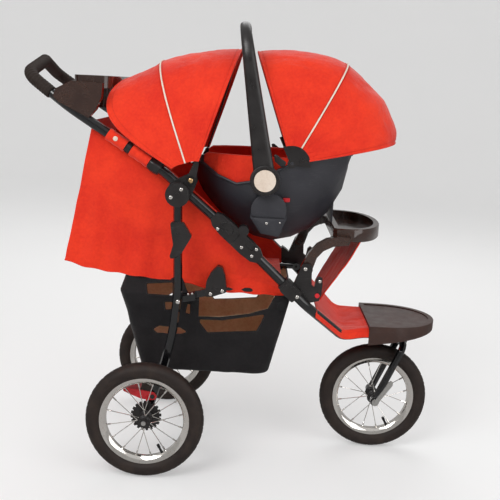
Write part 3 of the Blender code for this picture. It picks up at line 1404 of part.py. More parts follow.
SHELL_STATIONS = [
    # distance along, rim height, floor height, half-width at the rim, half-width at the floor
    (-0.124, 0.804, 0.768, 0.085, 0.060),
    (-0.100, 0.806, 0.728, 0.125, 0.085),
    (-0.060, 0.780, 0.684, 0.160, 0.105),
    (-0.010, 0.762, 0.645, 0.180, 0.118),
    (0.040, 0.772, 0.618, 0.186, 0.124),
    (0.090, 0.800, 0.608, 0.186, 0.126),
    (0.140, 0.826, 0.620, 0.184, 0.126),
    (0.190, 0.838, 0.646, 0.178, 0.120),
    (0.235, 0.845, 0.690, 0.166, 0.108),
    (0.270, 0.848, 0.752, 0.148, 0.092),
    (0.282, 0.848, 0.806, 0.132, 0.080),
]


def shell_ring(station, inset, lift=0.0):
    """A section of the carrier's shell: up the left side, over the top and down the right."""
    x, rim, floor, rim_width, floor_width = station
    floor = floor + inset
    rim_width = rim_width - inset
    floor_width = floor_width - inset * 0.6
    ring = [Vector((x, floor_width * 0.80, floor))]
    for share in (0.0, 0.33, 0.66, 1.0):
        width = floor_width + (rim_width - floor_width) * math.sin(share * math.pi / 2)
        ring.append(Vector((x, width, floor + 0.020 + (rim - floor - 0.020) * share)))
    if lift:
        ring.append(Vector((x, rim_width, rim + lift)))
    return ring + [Vector((p[0], -p[1], p[2])) for p in reversed(ring)]


def make_carrier_shell(finishes):
    """The carrier's shell: a tub with hub bosses, belt guards and the rib that rests on the child tray."""
    outer = lofted("carrier_shell", [shell_ring(s, 0) for s in SHELL_STATIONS])
    inner_stations = []
    for i, station in enumerate(SHELL_STATIONS):
        x = station[0]
        if i == 0:
            x += CARRIER_WALL
        if i == len(SHELL_STATIONS) - 1:
            x -= CARRIER_WALL
        inner_stations.append((x, *station[1:]))
    inner = lofted("inner", [shell_ring(s, CARRIER_WALL, 0.03) for s in inner_stations])
    extras = []
    for side in (-1, 1):
        reach = side * (CARRIER_ARM_Y - 0.0110)
        extras.append(cross_rod(f"boss_{side}", CARRIER_HUB, side * 0.150, reach, 0.030, 20))
        extras.append(cross_rod(f"pin_{side}", CARRIER_HUB, side * 0.150, side * (CARRIER_ARM_Y + 0.001), 0.008, 16))
        reach = side * CARRIER_PLATE_OUTER_Y
        extras.append(cross_rod(f"stud_{side}", CARRIER_CANOPY_PIVOT, side * 0.150, reach, 0.004, 12))
        guard = arc(Vector((0.076, 0.700)), 0.046, 0, 180, 9)
        guard += [Vector((0.030, 0.680)), Vector((0.058, 0.640)), Vector((0.106, 0.632)), Vector((0.122, 0.680))]
        low, high = sorted((side * 0.120, side * 0.1915))
        extras.append(side_plate(f"guard_{side}", guard, low, high))
    foot = TRAY_TOP_Z + FOOT_CLEARANCE
    back, front = FOOT_X - FOOT_DEPTH / 2, FOOT_X + FOOT_DEPTH / 2
    rib = side_plate("rib", [(back, foot), (front, foot), (front, 0.74), (back, 0.74)], -0.07, 0.07)
    shell = joined(outer, rib, *extras)
    shell = cut(shell, inner)
    carried(renamed(shell, "carrier_shell"), "carrier", finishes["plastic"])


def liner_rise(x):
    """How far the liner's border stands above the shell's rim at x."""
    share = (x + 0.100) / 0.240
    return LINER_RISE * math.sin(math.pi * min(1.0, max(0.0, share))) ** 1.5


def make_carrier_liner(finishes):
    """The padded liner: a crowned shell inside the carrier, with its border over the rim's inside."""
    stations = [s for s in SHELL_STATIONS[1:-1]]
    inset = CARRIER_WALL + GAP * 6
    # the border stands above the rim beside the baby's legs and hips
    rings = [shell_ring(s, inset, 0.001 + liner_rise(s[0])) for s in stations]
    outer = lofted("carrier_liner", rings)
    hollow_rings = []
    for i, s in enumerate(stations):
        x = s[0]
        if i == 0:
            x += LINER_THICKNESS
        if i == len(stations) - 1:
            x -= LINER_THICKNESS
        hollow_rings.append(shell_ring((x, *s[1:]), inset + LINER_THICKNESS, 0.06))
    liner = cut(outer, lofted("hollow", hollow_rings))
    carried(renamed(liner, "carrier_liner"), "carrier", finishes["fabric"])


def make_carrier_handle(finishes):
    """The carry handle: flat arms that taper up to a round bar, with a hub on each side."""
    lean = (HANDLE_TOP - CARRIER_HUB).normalized()
    wide = Vector((lean[1], 0, -lean[0]))
    first = CARRIER_HUB + lean * 0.020
    corners = [at(first, CARRIER_ARM_Y), at(HANDLE_TOP, CARRIER_ARM_Y - 0.012), at(HANDLE_TOP, 0)]
    half = bent(corners, [0.085], 6)
    path = half[:-1] + [half[-1]] + [Vector((p[0], -p[1], p[2])) for p in half[-2::-1]]
    rings = []
    height = (HANDLE_TOP - first).length
    sides = 8
    for i, point in enumerate(path):
        before = path[max(i - 1, 0)]
        after = path[min(i + 1, len(path) - 1)]
        tangent = (after - before).normalized()
        inward = tangent.cross(wide).normalized()
        rise = min(1.0, max(0.0, (Vector((point[0], point[2])) - first).length / height))
        half_wide = 0.0265 - 0.0130 * rise
        half_thick = 0.0085 + 0.0045 * rise
        ring = []
        for k in range(sides):
            angle = math.tau * (k + 0.5) / sides
            ring.append(point + wide * half_wide * math.cos(angle) + inward * half_thick * math.sin(angle))
        rings.append(ring)
    handle = lofted("carrier_handle", rings)
    hubs = []
    inner = CARRIER_ARM_Y - 0.0107
    outer = CARRIER_ARM_Y + 0.0110
    for side in (-1, 1):
        low, high = side * inner, side * outer
        hubs.append(cross_rod(f"hub_{side}", CARRIER_HUB, low, high, CARRIER_HUB_RADIUS, 24))
    handle = joined(handle, *hubs)
    cuts = []
    for side in (-1, 1):
        cuts.append(
            cross_rod(f"recess_{side}", CARRIER_HUB, side * (outer - 0.0070), side * (outer + 0.01), 0.0275 + GAP, 24)
        )
        cuts.append(cross_rod(f"bore_{side}", CARRIER_HUB, side * 0.19, side * (outer - 0.005), 0.008 + GAP, 16))
    handle = cut(handle, *cuts)
    carried(renamed(handle, "carrier_handle"), "carrier_handle", finishes["plastic"])
    button = cross_rod(
        "button", CARRIER_HUB, outer - 0.0070 + BUTTON_TRAVEL + GAP, outer + 0.0015, 0.0275, 24
    )
    pair(button, "handle_button", "handle_button_left", "handle_button_right", finishes["pale"])


def make_carrier_canopy(finishes):
    """The carrier's canopy and the wire bow at its front edge."""
    canopy = fan_sheet(
        "carrier_canopy",
        CARRIER_CANOPY_PIVOT,
        CARRIER_RIBS,
        CARRIER_CANOPY_HALF_WIDTH,
        CARRIER_POWER,
        0.06,
        CANOPY_WALL,
    )
    carried(canopy, "carrier", finishes["fabric"])
    under = CANOPY_WALL + 0.0022 + 0.0015
    width = CARRIER_CANOPY_HALF_WIDTH - under
    path = arch_path(CARRIER_CANOPY_PIVOT, CARRIER_BOW_ANGLE, 0.293 - under, width, CARRIER_POWER, 0.06)
    bow = tube("bow", path, 0.0022, 2)
    plates = []
    for side in (-1, 1):
        low, high = sorted((side * CARRIER_PLATE_INNER_Y, side * CARRIER_PLATE_OUTER_Y))
        shape = arc(CARRIER_CANOPY_PIVOT, 0.0475, -10, 122, 8) + arc(CARRIER_CANOPY_PIVOT, 0.012, 140, 330, 5)
        plates.append(side_plate(f"plate_{side}", shape, low, high))
    bow = joined(bow, *plates)
    bow = cut(bow, cross_rod("bore", CARRIER_CANOPY_PIVOT, -0.3, 0.3, 0.004 + GAP, 12))
    renamed(bow, "carrier_canopy_bow")
    carried(bow, "carrier_canopy_bow", finishes["plastic"])


def make_harness(finishes):
    """Shoulder and lap straps of the carrier, the buckle and its red button."""
    lining = CARRIER_WALL + GAP * 6 + LINER_THICKNESS
    floor = lining - 2 * GAP + SHELL_STATIONS[4][2] + (SHELL_STATIONS[5][2] - SHELL_STATIONS[4][2]) * 0.4
    buckle = round_edges(box("harness_buckle", (0.060, -0.022, floor), (0.100, 0.022, floor + 0.016)), 0.004, 2)
    hole = rod("hole", (0.080, 0, floor + 0.010), (0.080, 0, floor + 0.03), 0.009 + GAP, 16)
    buckle = cut(buckle, hole)
    carried(renamed(buckle, "harness_buckle"), "carrier", finishes["plastic"])
    button = rod("buckle_button", (0.080, 0, floor + 0.010 + 0.002 + GAP), (0.080, 0, floor + 0.0172), 0.009, 16)
    carried(button, "buckle_button", finishes["red_plastic"])


def make_bodies():
    """One empty on the joint axis of each body."""
    body("lower_frame", (0, 0, 0))
    body("upper_frame", at(FOLD_PIVOT, 0), "lower_frame")
    body("rear_legs", at(LEG_PIVOT, 0), "upper_frame")
    body("side_links", at(LINK_PIVOT, 0), "lower_frame")
    body("child_tray", at(TRAY_PIVOT, 0), "lower_frame")
    body("fork", (STEER_X, 0, FORK_CROWN_Z), "lower_frame")
    body("front_wheel", at(FRONT_AXLE, 0), "fork")
    body("quick_release", at(FRONT_AXLE, -FORK_Y - 0.0245), "fork")
    body("canopy", at(CANOPY_PIVOT, 0), "upper_frame")
    body("canopy_bow", at(CANOPY_PIVOT, 0), "upper_frame")
    body("carrier", (0.08, 0, 0.70), "lower_frame")
    body("carrier_handle", at(CARRIER_HUB, 0), "carrier")
    body("carrier_canopy_bow", at(CARRIER_CANOPY_PIVOT, 0), "carrier")
    body("buckle_button", (0.08, 0, 0.66), "carrier")
    for side, sign in (("left", 1), ("right", -1)):
        body("rear_wheel_" + side, at(REAR_AXLE, sign * REAR_WHEEL_Y), "rear_legs")
        body("brake_pedal_" + side, at(BRAKE_PIVOT, sign * LEG_FOOT_Y), "rear_legs")
        body("fold_latch_" + side, at(on_fold(0.036, 0.009), sign * TUBE_Y), "lower_frame")
        body("fold_button_" + side, at(on_fold(-0.034, 0.005), sign * TUBE_Y), "upper_frame")
        body("tray_button_" + side, at(RED_BUTTON, sign * TUBE_Y), "lower_frame")
        body("handle_button_" + side, at(CARRIER_HUB, sign * CARRIER_ARM_Y), "carrier_handle")


def main():
    """The whole pram."""
    start_scene()
    finishes = make_finishes()
    make_bodies()
    make_rear_wheels(finishes)
    make_front_wheel(finishes)
    make_frame_tubes(finishes)
    make_fold_joints(finishes)
    make_pivot_housings(finishes)
    make_rear_legs(finishes)
    make_brakes(finishes)
    make_side_links(finishes)
    make_connectors(finishes)
    make_footrest(finishes)
    make_swivel(finishes)
    make_console(finishes)
    make_child_tray(finishes)
    make_seat(finishes)
    make_basket(finishes)
    make_leg_panels(finishes)
    make_canopy(finishes)
    make_carrier_shell(finishes)
    make_carrier_liner(finishes)
    make_carrier_handle(finishes)
    make_carrier_canopy(finishes)
    make_harness(finishes)


main()
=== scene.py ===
"""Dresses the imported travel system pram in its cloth, metal and plastic finishes.

Each class below makes the soft goods and the fine parts of one sub-assembly around
them, in metres, X to the front, Y to the left, Z up.
"""

from __future__ import annotations

import json
import logging
import math
from dataclasses import dataclass, field

import bmesh
import bpy
import numpy as np
from mathutils import Matrix, Vector

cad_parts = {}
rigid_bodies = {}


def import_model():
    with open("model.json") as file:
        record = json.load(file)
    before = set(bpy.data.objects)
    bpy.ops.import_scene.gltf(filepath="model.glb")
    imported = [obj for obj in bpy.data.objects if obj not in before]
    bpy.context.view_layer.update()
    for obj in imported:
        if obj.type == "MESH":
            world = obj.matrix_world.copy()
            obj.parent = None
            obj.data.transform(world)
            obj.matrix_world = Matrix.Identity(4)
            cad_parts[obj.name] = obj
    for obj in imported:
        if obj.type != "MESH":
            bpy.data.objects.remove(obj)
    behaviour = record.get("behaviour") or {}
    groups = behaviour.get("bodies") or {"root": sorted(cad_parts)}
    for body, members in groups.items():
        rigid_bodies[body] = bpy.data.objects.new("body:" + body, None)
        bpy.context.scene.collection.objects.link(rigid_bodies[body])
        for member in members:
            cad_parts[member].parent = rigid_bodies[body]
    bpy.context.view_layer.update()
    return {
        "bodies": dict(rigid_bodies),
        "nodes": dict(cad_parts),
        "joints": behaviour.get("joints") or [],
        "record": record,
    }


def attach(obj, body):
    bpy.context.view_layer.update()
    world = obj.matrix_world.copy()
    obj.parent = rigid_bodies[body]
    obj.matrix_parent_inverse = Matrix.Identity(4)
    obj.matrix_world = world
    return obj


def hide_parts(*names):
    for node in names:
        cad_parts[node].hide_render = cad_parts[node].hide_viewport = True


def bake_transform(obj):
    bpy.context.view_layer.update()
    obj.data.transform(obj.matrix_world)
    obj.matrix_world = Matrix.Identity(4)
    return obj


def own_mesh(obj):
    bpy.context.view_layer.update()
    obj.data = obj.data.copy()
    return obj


LOG = logging.getLogger("pram")
TAU = math.tau
SUNK = 0.0004  # how far a head's foot lies under the face that it stands on
CUT_REACH = 0.3  # how far out on each side an opening's cut goes
SKEW = (0.31, 0.27, 0.91)  # a direction along no axis, to make a square one from


# Arrays and paths


def spline(points, count: int) -> np.ndarray:
    """A smooth curve through points, cut into even steps.

    Each stretch is a cubic whose slope at a point is half the step from the point before
    it to the point after it. The curve is then read at even lengths.

    Args:
        points: Rows of coordinates.
        count: How many rows come back.

    Returns:
        Rows of coordinates, count of them.
    """
    given = np.asarray(points, float)
    padded = np.vstack([2 * given[0] - given[1], given, 2 * given[-1] - given[-2]])
    steps = np.linspace(0, len(given) - 1, max(count, 2) * 6)
    index = np.minimum(steps.astype(int), len(given) - 2)
    share = (steps - index)[:, None]
    a, b, c, d = (padded[index + k] for k in range(4))
    curve = 0.5 * (2 * b + (c - a) * share + (2 * a - 5 * b + 4 * c - d) * share**2)
    curve += 0.5 * (3 * b - a - 3 * c + d) * share**3
    return even(curve, count)


def even(curve, count: int) -> np.ndarray:
    """A line of points read again at even lengths.

    Args:
        curve: Rows of coordinates.
        count: How many rows come back.

    Returns:
        Rows of coordinates, count of them.
    """
    line = np.asarray(curve, float)
    lengths = np.r_[0, np.cumsum(np.linalg.norm(np.diff(line, axis=0), axis=1))]
    marks = np.linspace(0, lengths[-1], count)
    return np.stack([np.interp(marks, lengths, line[:, k]) for k in range(line.shape[1])], axis=1)


def bent(corners, radii, steps: int = 10) -> np.ndarray:
    """Straight runs joined by round bends.

    At each inner corner the bend's middle lies on the corner's halving line, and the arc
    turns from one run's direction to the next about it.

    Args:
        corners: Rows of three coordinates.
        radii: One bend radius for each inner corner.
        steps: Points of each bend.

    Returns:
        Rows of three coordinates.
    """
    places = np.asarray(corners, float)
    runs = [places[:1]]
    for before, corner, after, radius in zip(places, places[1:], places[2:], radii):
        back = (before - corner) / np.linalg.norm(before - corner)
        on = (after - corner) / np.linalg.norm(after - corner)
        half = math.acos(float(np.clip(back @ on, -1, 1))) / 2
        reach = radius / math.tan(half)
        middle = corner + (back + on) / np.linalg.norm(back + on) * radius / math.sin(half)
        first, last = corner + back * reach - middle, corner + on * reach - middle
        turn = math.pi - 2 * half
        share = np.linspace(0, 1, steps + 1)[:, None]
        blend = np.sin((1 - share) * turn) * first + np.sin(share * turn) * last
        runs.append(middle + blend / math.sin(turn))
    runs.append(places[-1:])
    return np.vstack(runs)


def rounded(points, radius: float, steps: int = 4) -> np.ndarray:
    """A closed flat outline with round corners.

    Args:
        points: Rows of two coordinates.
        radius: The corner radius.
        steps: Points of each corner.

    Returns:
        Rows of two coordinates.
    """
    outline = np.asarray(points, float)
    closed = np.vstack([outline[-1:], outline, outline[:1]])
    space = np.column_stack([closed, np.zeros(len(closed))])
    return bent(space, [radius] * len(outline), steps)[1:-1, :2]


def smooth_step(values, low: float, high: float) -> np.ndarray:
    """0 below low, 1 above high, and 3s squared less 2s cubed between."""
    share = np.clip((np.asarray(values, float) - low) / (high - low), 0, 1)
    return share * share * (3 - 2 * share)


def ripple(*parts) -> np.ndarray:
    """A fixed, cloth-like unevenness from -1 to 1: four sine waves of the shares at odd angles.

    Args:
        parts: Two or three like arrays, each in waves.

    Returns:
        An array of their shape.
    """
    turns = [(1.0, 0.6, 0.3), (-0.7, 1.3, 0.9), (1.9, -0.8, 1.7), (0.4, 2.3, -1.1)]
    total = 0.0
    for order, weights in enumerate(turns):
        phase = sum(w * np.asarray(p) for w, p in zip(weights, parts))
        total = total + np.sin(TAU * phase + 1.7 * order) / (1 + 0.6 * order)
    return total / 2.6


def along_path(path, section, up=(0, 1, 0), closed: bool = False, scale=None) -> np.ndarray:
    """A section carried along a path, as a grid with one row for each point of the path.

    At each point the section's first axis is the up direction made square to the path,
    and its second is the path's direction crossed with that.

    Args:
        path: Rows of three coordinates.
        section: Rows of two coordinates.
        up: The direction, or one direction for each point, that the section keeps to.
        closed: True where the path's end joins its start.
        scale: A share of the section's size for each point, or rows of one for each axis.

    Returns:
        The grid of points.
    """
    path, section = np.asarray(path, float), np.asarray(section, float)
    if closed:
        tangent = np.roll(path, -1, axis=0) - np.roll(path, 1, axis=0)
    else:
        tangent = np.gradient(path, axis=0)
    tangent /= np.linalg.norm(tangent, axis=1, keepdims=True)
    first = np.broadcast_to(np.asarray(up, float), path.shape)
    first = first - (first * tangent).sum(1, keepdims=True) * tangent
    first = first / np.linalg.norm(first, axis=1, keepdims=True)
    second = np.cross(tangent, first)
    size = np.ones((len(path), 2))
    if scale is not None:
        size = size * np.asarray(scale, float).reshape(len(path), -1)
    return path[:, None] + (
        size[:, None, :1] * section[None, :, :1] * first[:, None]
        + size[:, None, 1:] * section[None, :, 1:] * second[:, None]
    )


def round_axis(profile, place, axis, steps: int) -> np.ndarray:
    """A profile turned round an axis, as a grid with one row for each point of the profile.

    Args:
        profile: Rows of (radius, distance along the axis).
        place: A point on the axis.
        axis: The axis direction.
        steps: How many times the profile stands round the axis.

    Returns:
        The grid of points.
    """
    profile = np.asarray(profile, float)
    line = np.asarray(axis, float) / np.linalg.norm(axis)
    side = np.cross(line, SKEW if abs(line[2]) < 0.9 else (1, 0, 0))
    side /= np.linalg.norm(side)
    turn = np.arange(steps) * TAU / steps
    ring = np.cos(turn)[:, None] * side + np.sin(turn)[:, None] * np.cross(line, side)
    return np.asarray(place, float) + profile[:, None, :1] * ring[None] + profile[:, None, 1:] * line


def side_dir(degrees) -> np.ndarray:
    """Unit directions in the side view, from +X towards +Z, as (x, 0, z)."""
    turn = np.radians(np.asarray(degrees, float))
    return np.stack([np.cos(turn), np.zeros_like(turn), np.sin(turn)], axis=-1)


# Meshes


@dataclass
class Shape:
    """Vertices, faces and UVs gathered from surfaces before they become one mesh."""

    points: list = field(default_factory=list)
    quads: list = field(default_factory=list)
    corners: list = field(default_factory=list)
    count: int = 0

    def patch(
        self, grid, wrap_rows: bool = False, wrap_columns: bool = False, flip: bool = False
    ) -> "Shape":
        """Adds a grid of points as quads, with UVs in metres along its rows and columns.

        Args:
            grid: Points in rows and columns, (rows, columns, 3).
            wrap_rows: True where the last row joins the first.
            wrap_columns: True where the last column joins the first.
            flip: True to turn the faces over.

        Returns:
            The shape itself.
        """
        grid = np.asarray(grid, float)
        rows, columns = grid.shape[:2]
        down = rows if wrap_rows else rows - 1
        over = columns if wrap_columns else columns - 1
        i, j = np.meshgrid(np.arange(down), np.arange(over), indexing="ij")
        ni, nj = (i + 1) % rows, (j + 1) % columns
        quads = np.stack([i * columns + j, i * columns + nj, ni * columns + nj, ni * columns + j], axis=-1)
        along = np.linalg.norm(np.diff(np.concatenate([grid, grid[:, :1]], 1), axis=1), axis=2).mean(0)
        below = np.linalg.norm(np.diff(np.concatenate([grid, grid[:1]], 0), axis=0), axis=2).mean(1)
        u, v = np.r_[0, np.cumsum(along)], np.r_[0, np.cumsum(below)]
        uv = np.stack(
            [np.stack([u[j], v[i]], -1), np.stack([u[j + 1], v[i]], -1),
             np.stack([u[j + 1], v[i + 1]], -1), np.stack([u[j], v[i + 1]], -1)],
            axis=-2,
        )
        quads, uv = quads.reshape(-1, 4), uv.reshape(-1, 4, 2)
        if flip:
            quads, uv = quads[:, ::-1], uv[:, ::-1]
        self.points.append(grid.reshape(-1, 3))
        self.quads.append(quads + self.count)
        self.corners.append(uv)
        self.count += rows * columns
        return self

    def shell(self, outer, inner, wrap_columns: bool = False) -> "Shape":
        """Adds a closed wall between two like grids, with its rims.

        Args:
            outer: The outer grid of points, faces towards the normal of rows by columns.
            inner: The inner grid of points.
            wrap_columns: True where the columns close on themselves.

        Returns:
            The shape itself.
        """
        outer, inner = np.asarray(outer, float), np.asarray(inner, float)
        self.patch(outer, wrap_columns=wrap_columns, flip=True)
        self.patch(inner, wrap_columns=wrap_columns)
        self.patch(np.stack([outer[0], inner[0]]), wrap_columns=wrap_columns)
        self.patch(np.stack([outer[-1], inner[-1]]), wrap_columns=wrap_columns, flip=True)
        if not wrap_columns:
            self.patch(np.stack([outer[:, 0], inner[:, 0]]), flip=True)
            self.patch(np.stack([outer[:, -1], inner[:, -1]]))
        return self

    def sweep(
        self, path, section, up=(0, 1, 0), closed: bool = False, scale=None, caps: bool = True
    ) -> "Shape":
        """Adds a closed section carried along a path.

        Args:
            path: Rows of three coordinates.
            section: Rows of two coordinates, anticlockwise.
            up: The direction, or one direction for each point, that the section keeps to.
            closed: True where the path's end joins its start.
            scale: A share of the section's size for each point, or one for each axis.
            caps: True to close an open path's ends.

        Returns:
            The shape itself.
        """
        path = np.asarray(path, float)
        grid = along_path(path, section, up, closed, scale)
        self.patch(grid, wrap_rows=closed, wrap_columns=True)
        if caps and not closed:
            for end, middle, flip in ((grid[0], path[0], True), (grid[-1], path[-1], False)):
                fan = np.stack([end, np.broadcast_to(middle, end.shape)])
                self.patch(fan, wrap_columns=True, flip=flip)
        return self

    def sleeve(self, path, outer, inner, up=(0, 1, 0), scale=None) -> "Shape":
        """Adds a hollow tube: an outer and an inner section of as many points, carried along a path.

        Args:
            path: Rows of three coordinates.
            outer: Rows of two coordinates.
            inner: Rows of two coordinates, as many.
            up: The direction that the sections keep to.
            scale: A share of the outer section's size for each point.

        Returns:
            The shape itself.
        """
        around = along_path(path, outer, up, False, scale)
        return self.shell(around, along_path(path, inner, up), wrap_columns=True)

    def turned(self, profile, centre, axis=(0, 1, 0), steps: int = 32) -> "Shape":
        """Turns a closed profile round an axis.

        Args:
            profile: Rows of (radius, distance along the axis).
            centre: A point on the axis.
            axis: The axis direction.
            steps: How many times the profile stands round the axis.

        Returns:
            The shape itself.
        """
        return self.patch(round_axis(profile, centre, axis, steps), wrap_rows=True, wrap_columns=True)

    def dome(self, place, axis, radius: float, height: float, steps: int = 16) -> "Shape":
        """A low round head, such as a rivet's or a bolt's, standing on a face.

        Its profile is a quarter ellipse over a short straight edge.

        Args:
            place: The middle of its flat side.
            axis: The direction that it stands out.
            radius: Its radius.
            height: Its height.
            steps: Points round it.

        Returns:
            The shape itself.
        """
        turn = np.linspace(0, math.pi / 2, 5)
        edge = 0.35 * height
        profile = np.vstack([
            [(0.0, -SUNK), (radius, -SUNK)],
            np.column_stack([radius * np.cos(turn), edge + (height - edge) * np.sin(turn)]),
        ])
        profile[-1, 0] = 0.0
        return self.patch(round_axis(profile, place, axis, steps), wrap_columns=True)

    def plate(self, outline, low: float, high: float, round_by: float = 0.0012) -> "Shape":
        """A plate with soft edges whose flat outline lies in the side view.

        Args:
            outline: Rows of (x, z), any way round.
            low: Its lowest Y.
            high: Its highest Y.
            round_by: How far its edges are rounded.

        Returns:
            The shape itself.
        """
        outline = np.asarray(outline, float)
        turn = np.roll(outline, -1, 0)
        if (outline[:, 0] * turn[:, 1] - turn[:, 0] * outline[:, 1]).sum() < 0:
            outline = outline[::-1]
        run = np.roll(outline, -1, 0) - np.roll(outline, 1, 0)
        length = np.maximum(np.linalg.norm(run, axis=1), 1e-9)[:, None]
        inward = np.stack([-run[:, 1], run[:, 0]], 1) / length
        middle = outline.mean(0)
        near = 0.3 * round_by
        edge = ((round_by, low), (near, low + near), (0, low + round_by),
                (0, high - round_by), (near, high - near), (round_by, high))
        rows = []
        for inset, y in edge:
            flat = outline + inward * inset
            rows.append(np.column_stack([flat[:, 0], np.full(len(flat), y), flat[:, 1]]))
        cap_low = rows[0] * 0 + np.array([middle[0], low, middle[1]])
        cap_high = rows[0] * 0 + np.array([middle[0], high, middle[1]])
        return self.patch(np.stack([cap_low, *rows, cap_high]), wrap_columns=True, flip=True)

    def made(self, name: str, finish: "Finish", angle: float = 42.0) -> bpy.types.Object:
        """The gathered surfaces as one object with its material, every face turned out.

        Args:
            name: The piece's name.
            finish: The finish that it wears.
            angle: Edges sharper than this stay sharp.

        Returns:
            The new object.
        """
        points = np.vstack(self.points)
        quads = np.vstack(self.quads)
        mesh = bpy.data.meshes.new(name)
        mesh.from_pydata(points.tolist(), [], quads.tolist())
        layer = mesh.uv_layers.new(name="cloth")
        layer.data.foreach_set("uv", np.concatenate(self.corners).reshape(-1).astype(np.float32))
        closed = bmesh.new()
        closed.from_mesh(mesh)
        bmesh.ops.remove_doubles(closed, verts=closed.verts, dist=2e-6)
        bmesh.ops.dissolve_degenerate(closed, edges=closed.edges, dist=1e-6)
        bmesh.ops.recalc_face_normals(closed, faces=closed.faces)
        closed.to_mesh(mesh)
        closed.free()
        smooth_faces(mesh)
        mesh.set_sharp_from_angle(angle=math.radians(angle))
        piece = bpy.data.objects.new(name, mesh)
        bpy.context.scene.collection.objects.link(piece)
        piece.data.materials.append(finish.material())
        LOG.info("%s: %d faces", name, len(mesh.polygons))
        return piece


def smooth_faces(mesh: bpy.types.Mesh) -> None:
    """Lets every face of a mesh shade smooth."""
    mesh.polygons.foreach_set("use_smooth", np.ones(len(mesh.polygons), bool))


def stitch_line(shape: "Shape", line, up, pitch: float = 0.0042, size: float = 0.00042) -> None:
    """Adds a row of stitches along a line: short threads with gaps.

    Args:
        shape: The shape that takes them.
        line: Rows of three coordinates on the cloth.
        up: The direction that the threads' section keeps to.
        pitch: From one stitch to the next.
        size: Half a thread's width.
    """
    length = np.linalg.norm(np.diff(np.asarray(line, float), axis=0), axis=1).sum()
    count = max(2, int(length / pitch))
    fine = even(line, count * 4 + 1)
    square = circle(size, 4)
    for i in range(count):
        shape.sweep(fine[4 * i:4 * i + 4], square, up=up, caps=False)


def cut_through(piece, outlines) -> None:
    """Cuts openings straight along Y through a closed piece.

    Args:
        piece: The object.
        outlines: Closed outlines of (x, z).
    """
    tool = bmesh.new()
    for outline in outlines:
        face = tool.faces.new([tool.verts.new((x, -CUT_REACH, z)) for x, z in outline])
        grown = bmesh.ops.extrude_face_region(tool, geom=[face])["geom"]
        ends = [item for item in grown if isinstance(item, bmesh.types.BMVert)]
        bmesh.ops.translate(tool, verts=ends, vec=(0, 2 * CUT_REACH, 0))
    bmesh.ops.recalc_face_normals(tool, faces=tool.faces)
    mesh = bpy.data.meshes.new("opening_cutter")
    tool.to_mesh(mesh)
    tool.free()
    cutter = bpy.data.objects.new("opening_cutter", mesh)
    bpy.context.scene.collection.objects.link(cutter)
    change = piece.modifiers.new("openings", "BOOLEAN")
    change.operation = "DIFFERENCE"
    change.solver = "EXACT"
    change.object = cutter
    shown = piece.evaluated_get(bpy.context.evaluated_depsgraph_get())
    before, piece.data = piece.data, bpy.data.meshes.new_from_object(shown)
    piece.data.name = piece.name
    piece.modifiers.clear()
    bpy.data.meshes.remove(before)
    bpy.data.objects.remove(cutter)
    bpy.data.meshes.remove(mesh)


def reshape(piece, change) -> None:
    """Moves every vertex of a piece by a function of its place.

    Args:
        piece: The object.
        change: Takes an array of points and gives the moved ones.
    """
    mesh = piece.data
    places = np.empty(len(mesh.vertices) * 3, np.float32)
    mesh.vertices.foreach_get("co", places)
    moved = change(places.reshape(-1, 3).astype(float))
    mesh.vertices.foreach_set("co", moved.astype(np.float32).reshape(-1))
    mesh.update()


def hung(piece, body: str, slot: str, *nodes: str) -> bpy.types.Object:
    """Lets a piece ride on a body, in place of some nodes.

    Args:
        piece: The object.
        body: The body's name.
        slot: Not used.
        nodes: The nodes that it stands for, if any.

    Returns:
        The object.
    """
    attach(piece, body)
    if nodes:
        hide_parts(*nodes)
    return piece


def circle(radius: float, steps: int = 12) -> np.ndarray:
    """A round section, anticlockwise, of that many points."""
    turn = np.arange(steps) * TAU / steps
    return radius * np.column_stack([np.cos(turn), np.sin(turn)])


def ribbon(width: float, thickness: float) -> np.ndarray:
    """A flat webbing section with round edges, its width along the second axis."""
    turn = np.linspace(-math.pi / 2, math.pi / 2, 5)
    edge = np.column_stack([np.sin(turn) * thickness / 2, width / 2 + np.cos(turn) * thickness / 2])
    return np.vstack([edge, -edge])


# Shader groups


